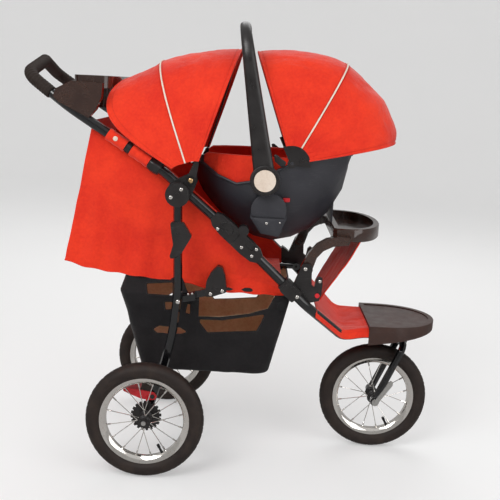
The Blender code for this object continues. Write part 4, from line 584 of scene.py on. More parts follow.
@dataclass
class Wiring:
    """Adds nodes to a tree and links them by name."""

    tree: bpy.types.NodeTree

    def feed(self, node, values: dict) -> None:
        """Sets or links a node's inputs.

        Args:
            node: The node.
            values: Socket names or indexes and what they hold: a number, a colour or another socket.
        """
        for key, value in values.items():
            socket = node.inputs[key]
            if isinstance(value, bpy.types.NodeSocket):
                self.tree.links.new(value, socket)
            else:
                socket.default_value = value

    def node(self, kind: str, values=None, **settings) -> bpy.types.Node:
        """A new node with its settings and its inputs.

        Args:
            kind: Blender's type name.
            values: What its inputs hold, as feed takes it.
            settings: Properties of the node.

        Returns:
            The node.
        """
        made = self.tree.nodes.new(kind)
        for key, value in settings.items():
            setattr(made, key, value)
        self.feed(made, values or {})
        return made

    def maths(self, operation: str, first, second=0.0, clamp: bool = False) -> bpy.types.NodeSocket:
        """A maths node's result.

        Args:
            operation: Its operation.
            first: A number or a socket.
            second: A number or a socket.
            clamp: True to keep it from 0 to 1.

        Returns:
            The output socket.
        """
        made = self.node("ShaderNodeMath", {0: first, 1: second}, operation=operation, use_clamp=clamp)
        return made.outputs[0]

    def mix(self, share, first, second) -> bpy.types.NodeSocket:
        """Two colours mixed by a share.

        Args:
            share: A number or a socket, 0 for the first.
            first: A colour or a socket.
            second: A colour or a socket.

        Returns:
            The output socket.
        """
        return self.node("ShaderNodeMix", {0: share, 6: first, 7: second}, data_type="RGBA").outputs[2]

    def span(self, value, low, high, to_low, to_high) -> bpy.types.NodeSocket:
        """A value carried from one range to another, and kept in it.

        Args:
            value: A socket.
            low: The range's start.
            high: The range's end.
            to_low: What the start becomes.
            to_high: What the end becomes.

        Returns:
            The output socket.
        """
        return self.node("ShaderNodeMapRange", {0: value, 1: low, 2: high, 3: to_low, 4: to_high}).outputs[0]

    def noise(self, place, scale, detail: float, **more) -> bpy.types.NodeSocket:
        """Soft noise from 0 to 1.

        Args:
            place: The vector socket that it is read at.
            scale: How fine it is, a number or a socket.
            detail: How many finer layers it has.
            more: Other inputs of the noise by name.

        Returns:
            The output socket.
        """
        values = {"Vector": place, "Scale": scale, "Detail": detail, **more}
        return self.node("ShaderNodeTexNoise", values).outputs[0]

    def effect(self, name: str, values: dict) -> bpy.types.NodeOutputs:
        """One of the shared groups with its inputs.

        Args:
            name: Its name in Effects.
            values: What its inputs hold.

        Returns:
            Its output sockets.
        """
        return self.node("ShaderNodeGroup", values, node_tree=Effects.get(name)).outputs


def new_group(name: str, inputs, outputs) -> tuple:
    """An empty shader node group with its sockets.

    Args:
        name: The group's name.
        inputs: Rows of (socket name, socket type, starting value or None).
        outputs: Rows of (socket name, socket type).

    Returns:
        Its wiring, the sockets that give its inputs, and the node that takes its outputs.
    """
    tree = bpy.data.node_groups.new(name, "ShaderNodeTree")
    for label, kind, value in inputs:
        socket = tree.interface.new_socket(name=label, in_out="INPUT", socket_type=kind)
        if value is not None:
            socket.default_value = value
    for label, kind in outputs:
        tree.interface.new_socket(name=label, in_out="OUTPUT", socket_type=kind)
    wire = Wiring(tree)
    return wire, wire.node("NodeGroupInput").outputs, wire.node("NodeGroupOutput")


def empty_material(name: str) -> tuple:
    """A new material without nodes.

    Args:
        name: The material's name.

    Returns:
        The material and its wiring.
    """
    made = bpy.data.materials.new(name)
    made.use_nodes = True
    made.node_tree.nodes.clear()
    return made, Wiring(made.node_tree)


class Effects:
    """The shader node groups that several finishes share, each built once."""

    made: dict = {}

    @classmethod
    def get(cls, name: str) -> bpy.types.NodeTree:
        """The group of that name, built the first time that it is asked for.

        Args:
            name: weave, mottle, grain or wear.

        Returns:
            The node tree.
        """
        if name not in cls.made:
            cls.made[name] = getattr(cls, "_" + name)()
        return cls.made[name]

    @staticmethod
    def _weave() -> bpy.types.NodeTree:
        """Crossed threads over a UV in metres: height, and a mask that is 1 on a thread's crown."""
        wire, given, end = new_group(
            "thread weave",
            [("Vector", "NodeSocketVector", None), ("Threads", "NodeSocketFloat", 900.0)],
            [("Height", "NodeSocketFloat"), ("Crown", "NodeSocketFloat")],
        )
        split = wire.node("ShaderNodeSeparateXYZ", {0: given["Vector"]})
        waves = []
        for axis in (0, 1):
            turn = wire.maths("MULTIPLY", split.outputs[axis], given["Threads"])
            waves.append(wire.maths("SINE", wire.maths("MULTIPLY", turn, TAU)))
        height = wire.span(wire.maths("MULTIPLY", *waves), -1.0, 1.0, 0.0, 1.0)
        wire.feed(end, {"Height": height, "Crown": wire.maths("POWER", height, 2.0)})
        return wire.tree

    @staticmethod
    def _mottle() -> bpy.types.NodeTree:
        """Two sizes of soft unevenness of a colour, from a vector in metres."""
        wire, given, end = new_group(
            "colour mottle",
            [("Vector", "NodeSocketVector", None), ("Size", "NodeSocketFloat", 9.0),
             ("Light", "NodeSocketColor", (1, 1, 1, 1)), ("Dark", "NodeSocketColor", (0, 0, 0, 1))],
            [("Color", "NodeSocketColor"), ("Mask", "NodeSocketFloat")],
        )
        broad = wire.noise(given["Vector"], given["Size"], 3.0, Roughness=0.55)
        fine = wire.noise(given["Vector"], wire.maths("MULTIPLY", given["Size"], 14.0), 2.0)
        mask = wire.maths("ADD", wire.maths("MULTIPLY", broad, 0.7), wire.maths("MULTIPLY", fine, 0.3))
        mask = wire.span(mask, 0.35, 0.65, 0.0, 1.0)
        wire.feed(end, {"Color": wire.mix(mask, given["Dark"], given["Light"]), "Mask": mask})
        return wire.tree

    @staticmethod
    def _grain() -> bpy.types.NodeTree:
        """The small pebbles of a moulded surface: height and a roughness."""
        wire, given, end = new_group(
            "moulded grain",
            [("Vector", "NodeSocketVector", None), ("Size", "NodeSocketFloat", 900.0),
             ("Smooth", "NodeSocketFloat", 0.35), ("Rough", "NodeSocketFloat", 0.5)],
            [("Height", "NodeSocketFloat"), ("Roughness", "NodeSocketFloat")],
        )
        cells = wire.node("ShaderNodeTexVoronoi", {"Vector": given["Vector"], "Scale": given["Size"]})
        rough = wire.span(wire.noise(given["Vector"], 40.0, 4.0), 0.3, 0.7, given["Smooth"], given["Rough"])
        wire.feed(end, {"Height": cells.outputs["Distance"], "Roughness": rough})
        return wire.tree

    @staticmethod
    def _wear() -> bpy.types.NodeTree:
        """Thin scratches and rubbed places, as a mask that is 1 where the surface is worn."""
        wire, given, end = new_group(
            "rubbed wear",
            [("Vector", "NodeSocketVector", None), ("Amount", "NodeSocketFloat", 0.2)],
            [("Mask", "NodeSocketFloat")],
        )
        drawn = wire.node("ShaderNodeMapping", {"Vector": given["Vector"], "Scale": (6.0, 6.0, 160.0),
                                                "Rotation": (0.5, 0.7, 0.2)})
        lines = wire.span(wire.noise(drawn.outputs[0], 9.0, 5.0), 0.58, 0.70, 0.0, 1.0)
        spots = wire.span(wire.noise(given["Vector"], 26.0, 3.0), 0.48, 0.66, 0.0, 1.0)
        mask = wire.maths("MULTIPLY", wire.maths("MULTIPLY", lines, spots), given["Amount"], True)
        wire.feed(end, {"Mask": mask})
        return wire.tree


# Finishes


@dataclass(frozen=True)
class Finish:
    """A finish by its name, colours and slot. Its kinds build their own materials."""

    name: str
    colour: tuple
    slot: str
    shade: tuple

    def material(self) -> bpy.types.Material:
        """The finish's material, built the first time."""
        found = bpy.data.materials.get(self.name)
        if found:
            return found
        made, wire = empty_material(self.name)
        skin = wire.node("ShaderNodeBsdfPrincipled")
        wire.node("ShaderNodeOutputMaterial", {0: skin.outputs[0]})
        made.diffuse_color = (*self.colour, 1)
        self.dress(wire, skin)
        return made

    def dress(self, wire: Wiring, skin: bpy.types.Node) -> None:
        """Sets the shader's inputs; each kind of finish has its own.

        Args:
            wire: The material's wiring.
            skin: Its Principled shader.
        """
        raise NotImplementedError

    @staticmethod
    def bump(wire: Wiring, *layers) -> bpy.types.NodeSocket:
        """A normal from heights, one over the other.

        Args:
            wire: The material's wiring.
            layers: Rows of (height socket, strength, distance in metres).

        Returns:
            The normal's socket.
        """
        under = {}
        for height, strength, distance in layers:
            values = {"Height": height, "Strength": strength, "Distance": distance, **under}
            under = {"Normal": wire.node("ShaderNodeBump", values).outputs[0]}
        return under["Normal"]


@dataclass(frozen=True)
class Cloth(Finish):
    """Woven cloth: threads along the piece's UVs, crumples, and a soft sheen."""

    threads: float = 900.0
    crumple: float = 0.5
    sheen: float = 0.25
    rough: float = 0.8

    def dress(self, wire: Wiring, skin: bpy.types.Node) -> None:
        """Colour mottled between two shades and darkened between the thread crowns as painted shade, with
        thread and crumple bumps.
        """
        coordinates = wire.node("ShaderNodeTexCoord").outputs
        place, shade = coordinates["Object"], (*self.shade, 1)
        colour = wire.effect("mottle", {"Vector": place, "Size": 11.0, "Light": (*self.colour, 1),
                                        "Dark": shade})
        weave = wire.effect("weave", {"Vector": coordinates["UV"], "Threads": self.threads})
        # Painted shade: between the thread crowns the colour is darkened towards the shade colour.
        tone = wire.mix(weave["Crown"], wire.mix(0.18, colour["Color"], shade), colour["Color"])
        folds = wire.noise(place, 17.0, 3.0, Roughness=0.45, Distortion=0.6)
        crimp = wire.noise(place, 70.0, 2.0)
        normal = self.bump(wire, (folds, self.crumple, 0.012), (crimp, 0.35 * self.crumple, 0.003),
                           (weave["Height"], 0.35, 0.0003))
        wire.feed(skin, {"Base Color": tone, "Normal": normal, "Roughness": self.rough,
                         "Sheen Weight": self.sheen, "Sheen Roughness": 0.4, "Specular IOR Level": 0.25})


@dataclass(frozen=True)
class Plastic(Finish):
    """Moulded plastic: fine grain, uneven gloss and light scratches."""

    smooth: float = 0.35
    rough: float = 0.5
    grain: float = 0.12
    grain_size: float = 1100.0
    coat: float = 0.0
    worn: tuple = (0.25, 0.24, 0.24)
    wear: float = 0.25

    def dress(self, wire: Wiring, skin: bpy.types.Node) -> None:
        """Two-tone colour, pebble grain and rubbed spots."""
        place = wire.node("ShaderNodeTexCoord").outputs["Object"]
        colour = wire.effect("mottle", {"Vector": place, "Size": 20.0, "Light": (*self.colour, 1),
                                        "Dark": (*self.shade, 1)})
        grain = wire.effect("grain", {"Vector": place, "Size": self.grain_size, "Smooth": self.smooth,
                                      "Rough": self.rough})
        rubbed = wire.effect("wear", {"Vector": place, "Amount": self.wear})["Mask"]
        tone = wire.mix(rubbed, colour["Color"], (*self.worn, 1))
        rough = wire.maths("ADD", grain["Roughness"], wire.maths("MULTIPLY", rubbed, 0.3), True)
        normal = self.bump(wire, (grain["Height"], self.grain, 0.0004))
        wire.feed(skin, {"Base Color": tone, "Roughness": rough, "Normal": normal, "Coat Weight": self.coat,
                         "Coat Roughness": 0.08})


@dataclass(frozen=True)
class Metal(Finish):
    """Bare or plated metal: fine drawn lines, smudges and small dark spots."""

    smooth: float = 0.08
    rough: float = 0.2
    drawn: float = 0.05

    def dress(self, wire: Wiring, skin: bpy.types.Node) -> None:
        """Colour between plate and dull spots, roughness from smudges."""
        place = wire.node("ShaderNodeTexCoord").outputs["Object"]
        smudge = wire.noise(place, 32.0, 5.0, Roughness=0.6)
        dull = wire.maths("MULTIPLY", wire.span(wire.noise(place, 210.0, 2.0), 0.60, 0.72, 0.0, 1.0), 0.6)
        rough = wire.span(smudge, 0.3, 0.7, self.smooth, self.rough)
        rough = wire.maths("ADD", rough, wire.maths("MULTIPLY", dull, 0.35), True)
        normal = self.bump(wire, (wire.noise(place, 420.0, 2.0), self.drawn, 0.0002))
        tone = wire.mix(dull, (*self.colour, 1), (*self.shade, 1))
        wire.feed(skin, {"Base Color": tone, "Roughness": rough, "Normal": normal, "Metallic": 1.0})


@dataclass(frozen=True)
class Rubber(Finish):
    """Rubber or foam: dull, with patches of dust, and fine pores."""

    pores: float = 600.0
    depth: float = 0.3
    rough: float = 0.8
    dust: float = 0.4

    def dress(self, wire: Wiring, skin: bpy.types.Node) -> None:
        """Colour between rubber and dust, with a pored surface."""
        place = wire.node("ShaderNodeTexCoord").outputs["Object"]
        dirt = wire.noise(place, 28.0, 6.0, Roughness=0.65)
        share = wire.maths("MULTIPLY", wire.span(dirt, 0.42, 0.7, 0.0, 1.0), self.dust)
        pores = wire.node("ShaderNodeTexVoronoi", {"Vector": place, "Scale": self.pores})
        normal = self.bump(wire, (pores.outputs["Distance"], self.depth, 0.0005))
        rough = wire.span(dirt, 0.3, 0.7, self.rough - 0.15, self.rough)
        tone = wire.mix(share, (*self.colour, 1), (*self.shade, 1))
        wire.feed(skin, {"Base Color": tone, "Roughness": rough, "Normal": normal,
                         "Specular IOR Level": 0.35})


class Finishes:
    """Every finish of the pram: name, colour, slot, second colour and what its kind adds."""

    RED = Cloth("orange red cloth", (0.86, 0.045, 0.012), "red_fabric", (0.68, 0.022, 0.008), crumple=0.55)
    RED_DEEP = Cloth("deep red cloth", (0.62, 0.018, 0.010), "red_fabric", (0.45, 0.012, 0.008), crumple=0.35)
    BLACK_CLOTH = Cloth("black basket cloth", (0.017, 0.015, 0.016), "black_fabric", (0.008, 0.007, 0.008),
                        threads=700.0, crumple=0.6, sheen=0.15)
    WEBBING = Cloth("black webbing", (0.02, 0.019, 0.02), "black_fabric", (0.006, 0.006, 0.006),
                    threads=420.0, crumple=0.1, sheen=0.2)
    THREAD = Cloth("seam thread", (0.62, 0.030, 0.012), "red_fabric", (0.5, 0.02, 0.01),
                   threads=3000.0, crumple=0.0, sheen=0.2)
    # The coated back's tan is raised well above its own colour: painted light against the shade inside the
    # basket.
    BACKING_PAINTED_LIGHT = Cloth("coated cloth back with painted light", (0.98, 0.82, 0.60), "black_fabric", (0.70, 0.50, 0.30),
                    threads=600.0, crumple=0.7, sheen=0.0, rough=0.62)
    PIPING = Cloth("cream piping", (0.86, 0.82, 0.72), "red_fabric", (0.72, 0.66, 0.55),
                   threads=600.0, crumple=0.1, sheen=0.1)
    PAINT = Plastic("gloss black paint", (0.005, 0.005, 0.006), "tube_paint", (0.003, 0.003, 0.004),
                    smooth=0.06, rough=0.14, grain=0.02, grain_size=300.0, coat=0.5,
                    worn=(0.12, 0.12, 0.12), wear=0.15)
    GREY_PLASTIC = Plastic("dark grey plastic", (0.018, 0.0155, 0.0155), "dark_plastic",
                           (0.012, 0.010, 0.010), smooth=0.26, rough=0.42)
    SHELL_PLASTIC = Plastic("shell plastic", (0.034, 0.034, 0.042), "dark_plastic", (0.026, 0.026, 0.033),
                            smooth=0.36, rough=0.52, grain=0.2, grain_size=800.0)
    TRAY_PLASTIC = Plastic("gloss brown plastic", (0.045, 0.020, 0.013), "tray_plastic",
                           (0.026, 0.011, 0.008), smooth=0.10, rough=0.22, grain=0.03, coat=0.6, wear=0.12)
    FOOT_PLASTIC = Plastic("satin brown plastic", (0.050, 0.019, 0.012), "footrest_plastic",
                           (0.034, 0.013, 0.009), smooth=0.42, rough=0.6, grain=0.25, grain_size=700.0,
                           wear=0.2)
    RED_PLASTIC = Plastic("red plastic", (0.62, 0.012, 0.02), "red_plastic", (0.5, 0.008, 0.014),
                          smooth=0.3, rough=0.45, worn=(0.7, 0.2, 0.18), wear=0.15)
    PALE_PLASTIC = Plastic("pale button plastic", (0.80, 0.70, 0.60), "pale_plastic", (0.66, 0.54, 0.44),
                           smooth=0.35, rough=0.5, worn=(0.5, 0.45, 0.4), wear=0.2)
    FOAM = Rubber("grip foam", (0.020, 0.012, 0.009), "grip_foam", (0.05, 0.035, 0.03),
                  pores=900.0, depth=0.5, rough=0.85, dust=0.3)
    TYRE = Rubber("tyre rubber", (0.020, 0.013, 0.011), "tyre_rubber", (0.060, 0.040, 0.030),
                  pores=700.0, depth=0.15, rough=0.72)
    CHROME = Metal("chrome plate", (0.86, 0.83, 0.79), "chrome", (0.5, 0.42, 0.34), smooth=0.05, rough=0.14)
    BRASS = Metal("bolt brass", (0.80, 0.52, 0.26), "zinc_steel", (0.4, 0.24, 0.12), smooth=0.12, rough=0.26)
    ZINC = Metal("zinc plate", (0.60, 0.59, 0.57), "zinc_steel", (0.32, 0.31, 0.29),
                 smooth=0.22, rough=0.4, drawn=0.15)


SLOT_FINISH = {
    finish.slot: finish
    for finish in (
        Finishes.PAINT, Finishes.GREY_PLASTIC, Finishes.TRAY_PLASTIC, Finishes.FOOT_PLASTIC,
        Finishes.FOAM, Finishes.TYRE, Finishes.CHROME, Finishes.ZINC, Finishes.RED_PLASTIC, Finishes.RED,
        Finishes.BLACK_CLOTH, Finishes.PALE_PLASTIC,
    )
}


# Shared lines of the frame


@dataclass
class FrameLines:
    """The lines of the frame tubes, as the rigid parts have them."""

    housing: tuple = (-0.001, 0.6315)
    upper_bend: tuple = (-0.191, 0.787)
    upper_rear: tuple = (-0.430, 0.9325)
    handle_corner: tuple = (-0.5454, 1.010)
    handle_middle: tuple = (-0.5419, 1.0455)
    tube_y: float = 0.215
    upper_rear_y: float = 0.205
    handle_corner_y: float = 0.165
    tube_start: float = 0.0535
    bends: tuple = (0.15, 0.2, 0.055)

    def upper_corners(self) -> list:
        """The corners of the upper tube's line on the left, from the fold joint to the handle's middle."""
        run = np.subtract(self.upper_bend, self.housing)
        start = np.asarray(self.housing) + run / np.linalg.norm(run) * self.tube_start
        return [
            (start[0], self.tube_y, start[1]),
            (self.upper_bend[0], self.tube_y, self.upper_bend[1]),
            (self.upper_rear[0], self.upper_rear_y, self.upper_rear[1]),
            (self.handle_corner[0], self.handle_corner_y, self.handle_corner[1]),
            (self.handle_middle[0], 0.0, self.handle_middle[1]),
        ]

    def upper_half(self) -> np.ndarray:
        """The upper tube's middle line on the left, with its bends."""
        return bent(self.upper_corners(), self.bends)

    def upper_whole(self) -> np.ndarray:
        """The upper tube's middle line from left to right."""
        half = self.upper_half()
        return np.vstack([half, half[-2::-1] * (1, -1, 1)])


# Wheels


@dataclass
class Wheel:
    """A spoked wheel with an air tyre, on the middle of its axle."""

    name: str
    body: str
    x: float
    y: float
    z: float = 0.1525
    flange_y: float = 0.017
    radius: float = 0.1525
    tyre_width: float = 0.046
    tyre_sunk: float = 0.003
    tread_depth: float = 0.0013
    blocks: int = 46
    rim_radius: float = 0.115
    rim_inner: float = 0.100
    rim_width: float = 0.030
    spokes: int = 16
    spoke_lean: float = 0.34
    hub_radius: float = 0.0175
    valve_turn: float = -62.0
    around: int = 240
    across: int = 44

    def tyre(self) -> bpy.types.Object:
        """The tyre: an oval section round the axle, whose crown is cut into two rows of slanting blocks.

        The radius falls by a groove's depth where a slanting wave round the tyre or the
        line between two rows of blocks passes near zero.
        """
        seat = self.rim_radius - self.tyre_sunk
        middle = (self.radius + seat) / 2
        depth = (self.radius - seat) / 2
        turn = np.linspace(0, TAU, self.around, endpoint=False)[:, None]
        section = np.linspace(0, TAU, self.across, endpoint=False)[None, :]
        across = np.sin(section)
        out = np.sign(np.cos(section)) * np.abs(np.cos(section)) ** 0.86
        blocks = np.sin(turn * self.blocks + 2.4 * np.abs(across) * np.where(np.cos(section) > 0, 1, 0))
        rows = np.abs(np.abs(across) - 0.30)
        cut = (1 - smooth_step(np.abs(blocks), 0.12, 0.42)) * smooth_step(np.abs(across), 0.03, 0.10)
        line = (1 - smooth_step(rows, 0.02, 0.07)) + (1 - smooth_step(np.abs(across), 0.015, 0.05))
        crown = smooth_step(np.cos(section) + 0 * turn, 0.18, 0.36)
        groove = self.tread_depth * np.clip(np.maximum(cut, line + 0 * cut), 0, 1) * crown
        shoulder = 0.0006 * np.exp(-((np.abs(across) - 0.93) / 0.02) ** 2) * (np.cos(section) > -0.4)
        radius = middle + (depth - groove + 0 * turn) * out
        width = (self.tyre_width / 2 + shoulder + 0 * turn) * across
        across_pram, up = self.y + width, self.z + radius * np.sin(turn)
        grid = np.stack([self.x + radius * np.cos(turn), across_pram, up], axis=-1)
        shape = Shape().patch(grid, wrap_rows=True, wrap_columns=True)
        return shape.made(f"{self.name}_tyre_tread", Finishes.TYRE, angle=50)

    def rim(self) -> bpy.types.Object:
        """The rim and its crossed spokes with their nipples."""
        half = self.rim_width / 2
        well = 0.0075
        shoulder = (self.rim_radius + self.rim_inner) / 2
        profile = [
            (self.rim_radius + 0.0012, -half), (self.rim_radius + 0.0004, -half - 0.0012),
            (self.rim_radius - 0.0014, -half - 0.0006), (shoulder + 0.002, -half + 0.0006),
            (shoulder - 0.002, -half + 0.0026), (self.rim_inner + 0.0015, -well - 0.0014),
            (self.rim_inner, -well), (self.rim_inner - 0.0004, 0.0), (self.rim_inner, well),
            (self.rim_inner + 0.0015, well + 0.0014), (shoulder - 0.002, half - 0.0026),
            (shoulder + 0.002, half - 0.0006), (self.rim_radius - 0.0014, half + 0.0006),
            (self.rim_radius + 0.0004, half + 0.0012), (self.rim_radius + 0.0012, half),
            (self.rim_radius - 0.004, half - 0.003), (self.rim_radius - 0.004, -half + 0.003),
        ]
        centre = np.array([self.x, self.y, self.z])
        shape = Shape().turned(profile, centre, steps=128)
        for i in range(self.spokes):
            turn = TAU * (i + 0.5) / self.spokes
            side = 1 if i % 2 else -1
            lean = (1 if (i // 2) % 2 else -1) * self.spoke_lean
            rim_dir = np.array([math.cos(turn), 0, math.sin(turn)])
            hub_dir = np.array([math.cos(turn + lean), 0, math.sin(turn + lean)])
            start = centre + hub_dir * self.hub_radius + (0, side * self.flange_y, 0)
            end = centre + rim_dir * (self.rim_inner + 0.004) + (0, side * 0.001, 0)
            line = np.linspace(start, end, 3)
            shape.sweep(line, circle(0.0011, 8))
            run = (end - start) / np.linalg.norm(end - start)
            nipple = np.array([end - run * 0.016, end - run * 0.0145, end - run * 0.006, end - run * 0.004])
            shape.sweep(nipple, circle(0.0021, 8), scale=[0.75, 1.0, 1.0, 1.25])
            bend = np.array([start - (0, side * 0.0045, 0), start, start + run * 0.004])
            shape.sweep(bend, circle(0.0013, 8), up=rim_dir)
        return shape.made(f"{self.name}_rim_spokes", Finishes.CHROME, angle=38)

    def valve(self) -> bpy.types.Object:
        """The valve with its cap, through the rim between two spokes."""
        turn = math.radians(self.valve_turn)
        out = np.array([math.cos(turn), 0, math.sin(turn)])
        centre = np.array([self.x, self.y, self.z])
        line = centre + out * np.array([[0.104], [0.086], [0.0855], [0.0765], [0.0755]])
        shape = Shape().sweep(line, circle(0.0034, 12), scale=[1.1, 0.9, 1.15, 1.15, 0.8])
        return shape.made(f"{self.name}_valve", Finishes.WEBBING, angle=35)

    def build(self, tyre_node: str, rim_node: str) -> None:
        """Makes the wheel's pieces and lets them ride on its body.

        Args:
            tyre_node: The node that the tyre stands for.
            rim_node: The node that the rim stands for.
        """
        tyre, rim, valve = self.tyre(), self.rim(), self.valve()
        for piece in (tyre, rim, valve):
            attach(piece, self.body)
        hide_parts(tyre_node)
        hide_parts(rim_node)


# Push handle


@dataclass
class PushHandle:
    """The ribbed foam sleeve on the push handle."""

    lines: FrameLines
    radius: float = 0.0163
    start_share: float = 0.42
    rib_pitch: float = 0.0085
    rib_height: float = 0.0012

    def build(self) -> None:
        """A round section along the handle, whose radius rises and falls once each rib."""
        whole = self.lines.upper_whole()
        corner, last = (np.array(place) for place in self.lines.upper_corners()[2:4])
        begin = corner + (last - corner) * self.start_share
        fine = even(whole, 2400)
        first = int(np.argmin(np.linalg.norm(fine - begin, axis=1)))
        sleeve = even(fine[first:len(fine) - first], 520)
        length = np.linalg.norm(np.diff(sleeve, axis=0), axis=1).sum()
        along = np.linspace(0, length, len(sleeve))
        wave = 0.5 + 0.5 * np.cos(TAU * along / self.rib_pitch)
        ends = smooth_step(along, 0.0, 0.004) * smooth_step(length - along, 0.0, 0.004)
        size = 1 - self.rib_height / self.radius * (1 - wave**0.5) - 0.10 * (1 - ends)
        up = np.broadcast_to(np.array([0.35, 0.0, 1.0]), sleeve.shape)
        shape = Shape().sweep(sleeve, circle(self.radius, 28), up=up, scale=size)
        sleeve_piece = shape.made("push_handle_foam", Finishes.FOAM, angle=60)
        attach(sleeve_piece, "upper_frame")
        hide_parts("handle_grip")


# Canopies


@dataclass
class Canopy:
    """A folding canopy: one curved sheet over bows that fan out from a pivot.

    Each rib is a bow's (foot angle, foot length, crown angle, crown length), and places
    between the ribs are counted from 0 at the first to 1 at the last.
    """

    name: str
    pivot: tuple
    ribs: list
    half_width: float
    power: float
    low_turn: float
    bows: list
    body: str
    bow_body: str
    node: str
    wall: float = 0.0022
    dip: float = 0.006
    rows: int = 120
    columns: int = 132
    piping_angle: float = 100.0

    def table(self, place) -> np.ndarray:
        """The rib values at places from 0 to 1, smooth between the given ribs.

        Args:
            place: An array of places.

        Returns:
            An array with four more values for each place.
        """
        given = np.array([rib if len(rib) == 4 else rib + rib for rib in self.ribs], float)
        fine = spline(given, 240)
        marks = (fine[:, 2] - fine[0, 2]) / (fine[-1, 2] - fine[0, 2])
        return np.stack([np.interp(place, marks, fine[:, k]) for k in range(4)], axis=-1)

    def place_of(self, angle: float) -> float:
        """The place whose crown stands at an angle in degrees."""
        return (angle - self.ribs[0][-2]) / (self.ribs[-1][-2] - self.ribs[0][-2])

    def at(self, place, turn, lift=0.0) -> np.ndarray:
        """Points of the canopy by the place in the fan and the turn along the bow.

        Height over the pivot is the bow's length times the turn's sine to a power, and the
        way across is the half width times its cosine to the same power, so that each bow
        is a squared-off arch. Towards the crown the foot's angle and length go over into
        the crown's with the cube of the turn's sine.

        Args:
            place: Places in the fan, 0 to 1.
            turn: Radians along the bow, 0 at the left foot.
            lift: How far the cloth stands out from the bow's line.

        Returns:
            An array of points.
        """
        foot_angle, foot, crown_angle, crown = np.moveaxis(self.table(place), -1, 0)
        share = np.abs(np.sin(turn)) ** 3
        angle = foot_angle + (crown_angle - foot_angle) * share
        reach = foot + (crown - foot) * share
        out = (reach + lift) * np.abs(np.sin(turn)) ** self.power
        across = (self.half_width + lift) * np.sign(np.cos(turn)) * np.abs(np.cos(turn)) ** self.power
        points = side_dir(angle) * out[..., None] + np.array([self.pivot[0], 0.0, self.pivot[1]])
        points[..., 1] = across
        return points

    def lift(self, place, turn) -> np.ndarray:
        """How far the cloth stands from the bows: it dips between them and crumples a little."""
        bows = np.sort([self.place_of(angle) for angle in self.bows])
        share = np.zeros_like(place)
        for low, high in zip(bows, bows[1:]):
            inside = np.clip((place - low) / (high - low), 0, 1)
            share = share + np.sin(math.pi * inside) * ((place > low) & (place < high))
        crown = np.abs(np.sin(turn)) ** 0.7
        pull = ripple(place * 2.1, turn * 1.1, place * 0.8)
        small = ripple(place * 6.6 + turn * 0.9, turn * 3.1, place * 3.0)
        near = np.exp(-((np.sin(turn)) / 0.45) ** 2)
        sag = -self.dip * share * crown + 0.0022 * pull * share
        return sag - 0.0010 * small * share - 0.0012 * near * np.abs(small)

    def build(self) -> None:
        """The sheet, the piping over its seam, the bound edges and the rows of stitches."""
        places = np.linspace(0, 1, self.rows)[:, None]
        turns = np.linspace(self.low_turn, math.pi - self.low_turn, self.columns)[None, :]
        place, turn = np.broadcast_arrays(places, turns)
        lift = self.lift(place, turn)
        outer = self.at(place, turn, lift - 0.0004)
        inner = self.at(place, turn, lift - self.wall)
        cloth = Shape().shell(outer, inner).made(f"{self.name}_cloth", Finishes.RED, angle=60)
        seam_turn = np.linspace(self.low_turn, math.pi - self.low_turn, 160)
        line = self.line(self.place_of(self.piping_angle), seam_turn, 0.0008)
        cord = Shape().sweep(line, circle(0.0021, 10), up=self.edge_up())
        cord = cord.made(f"{self.name}_piping", Finishes.PIPING)
        trims = Shape()
        for edge in (0.0, 1.0):
            trims.sweep(self.line(edge, seam_turn, -0.0012), circle(0.0026, 10), up=self.edge_up())
        trim = trims.made(f"{self.name}_bound_edges", Finishes.RED, angle=60)
        seams = Shape()
        step = 0.010 / math.radians(abs(self.ribs[-1][-2] - self.ribs[0][-2])) / self.ribs[0][1]
        pipe = self.place_of(self.piping_angle)
        for mark in (step, 1 - step, pipe - 0.6 * step, pipe + 0.6 * step):
            stitch_line(seams, self.line(mark, seam_turn, 0.0), self.edge_up())
        stitches = seams.made(f"{self.name}_stitches", Finishes.THREAD, angle=60)
        start = self.at(np.array([1.0]), np.array([math.pi / 2]))[0]
        end = self.at(np.array([0.0]), np.array([math.pi / 2]))[0]
        self.hang((cloth, cord, trim, stitches))

    def line(self, place: float, turn, lift: float) -> np.ndarray:
        """The line over the canopy at one place, with the cloth's own lift and a little more."""
        marks = np.full_like(turn, place)
        return self.at(marks, turn, self.lift(marks, turn) + lift)

    def edge_up(self) -> tuple:
        """The direction that trims keep their section to: nearly the canopy's own axis."""
        turn = math.radians(self.piping_angle + 90)
        return (math.cos(turn), 0.02, math.sin(turn))

    def hang(self, pieces: tuple) -> None:
        """Hides the node that the canopy stands for and bakes each piece's place into its mesh.

        Args:
            pieces: The sheet, then its trims.
        """
        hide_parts(self.node)
        for piece in pieces:
            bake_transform(piece)


# Seat and leg panels


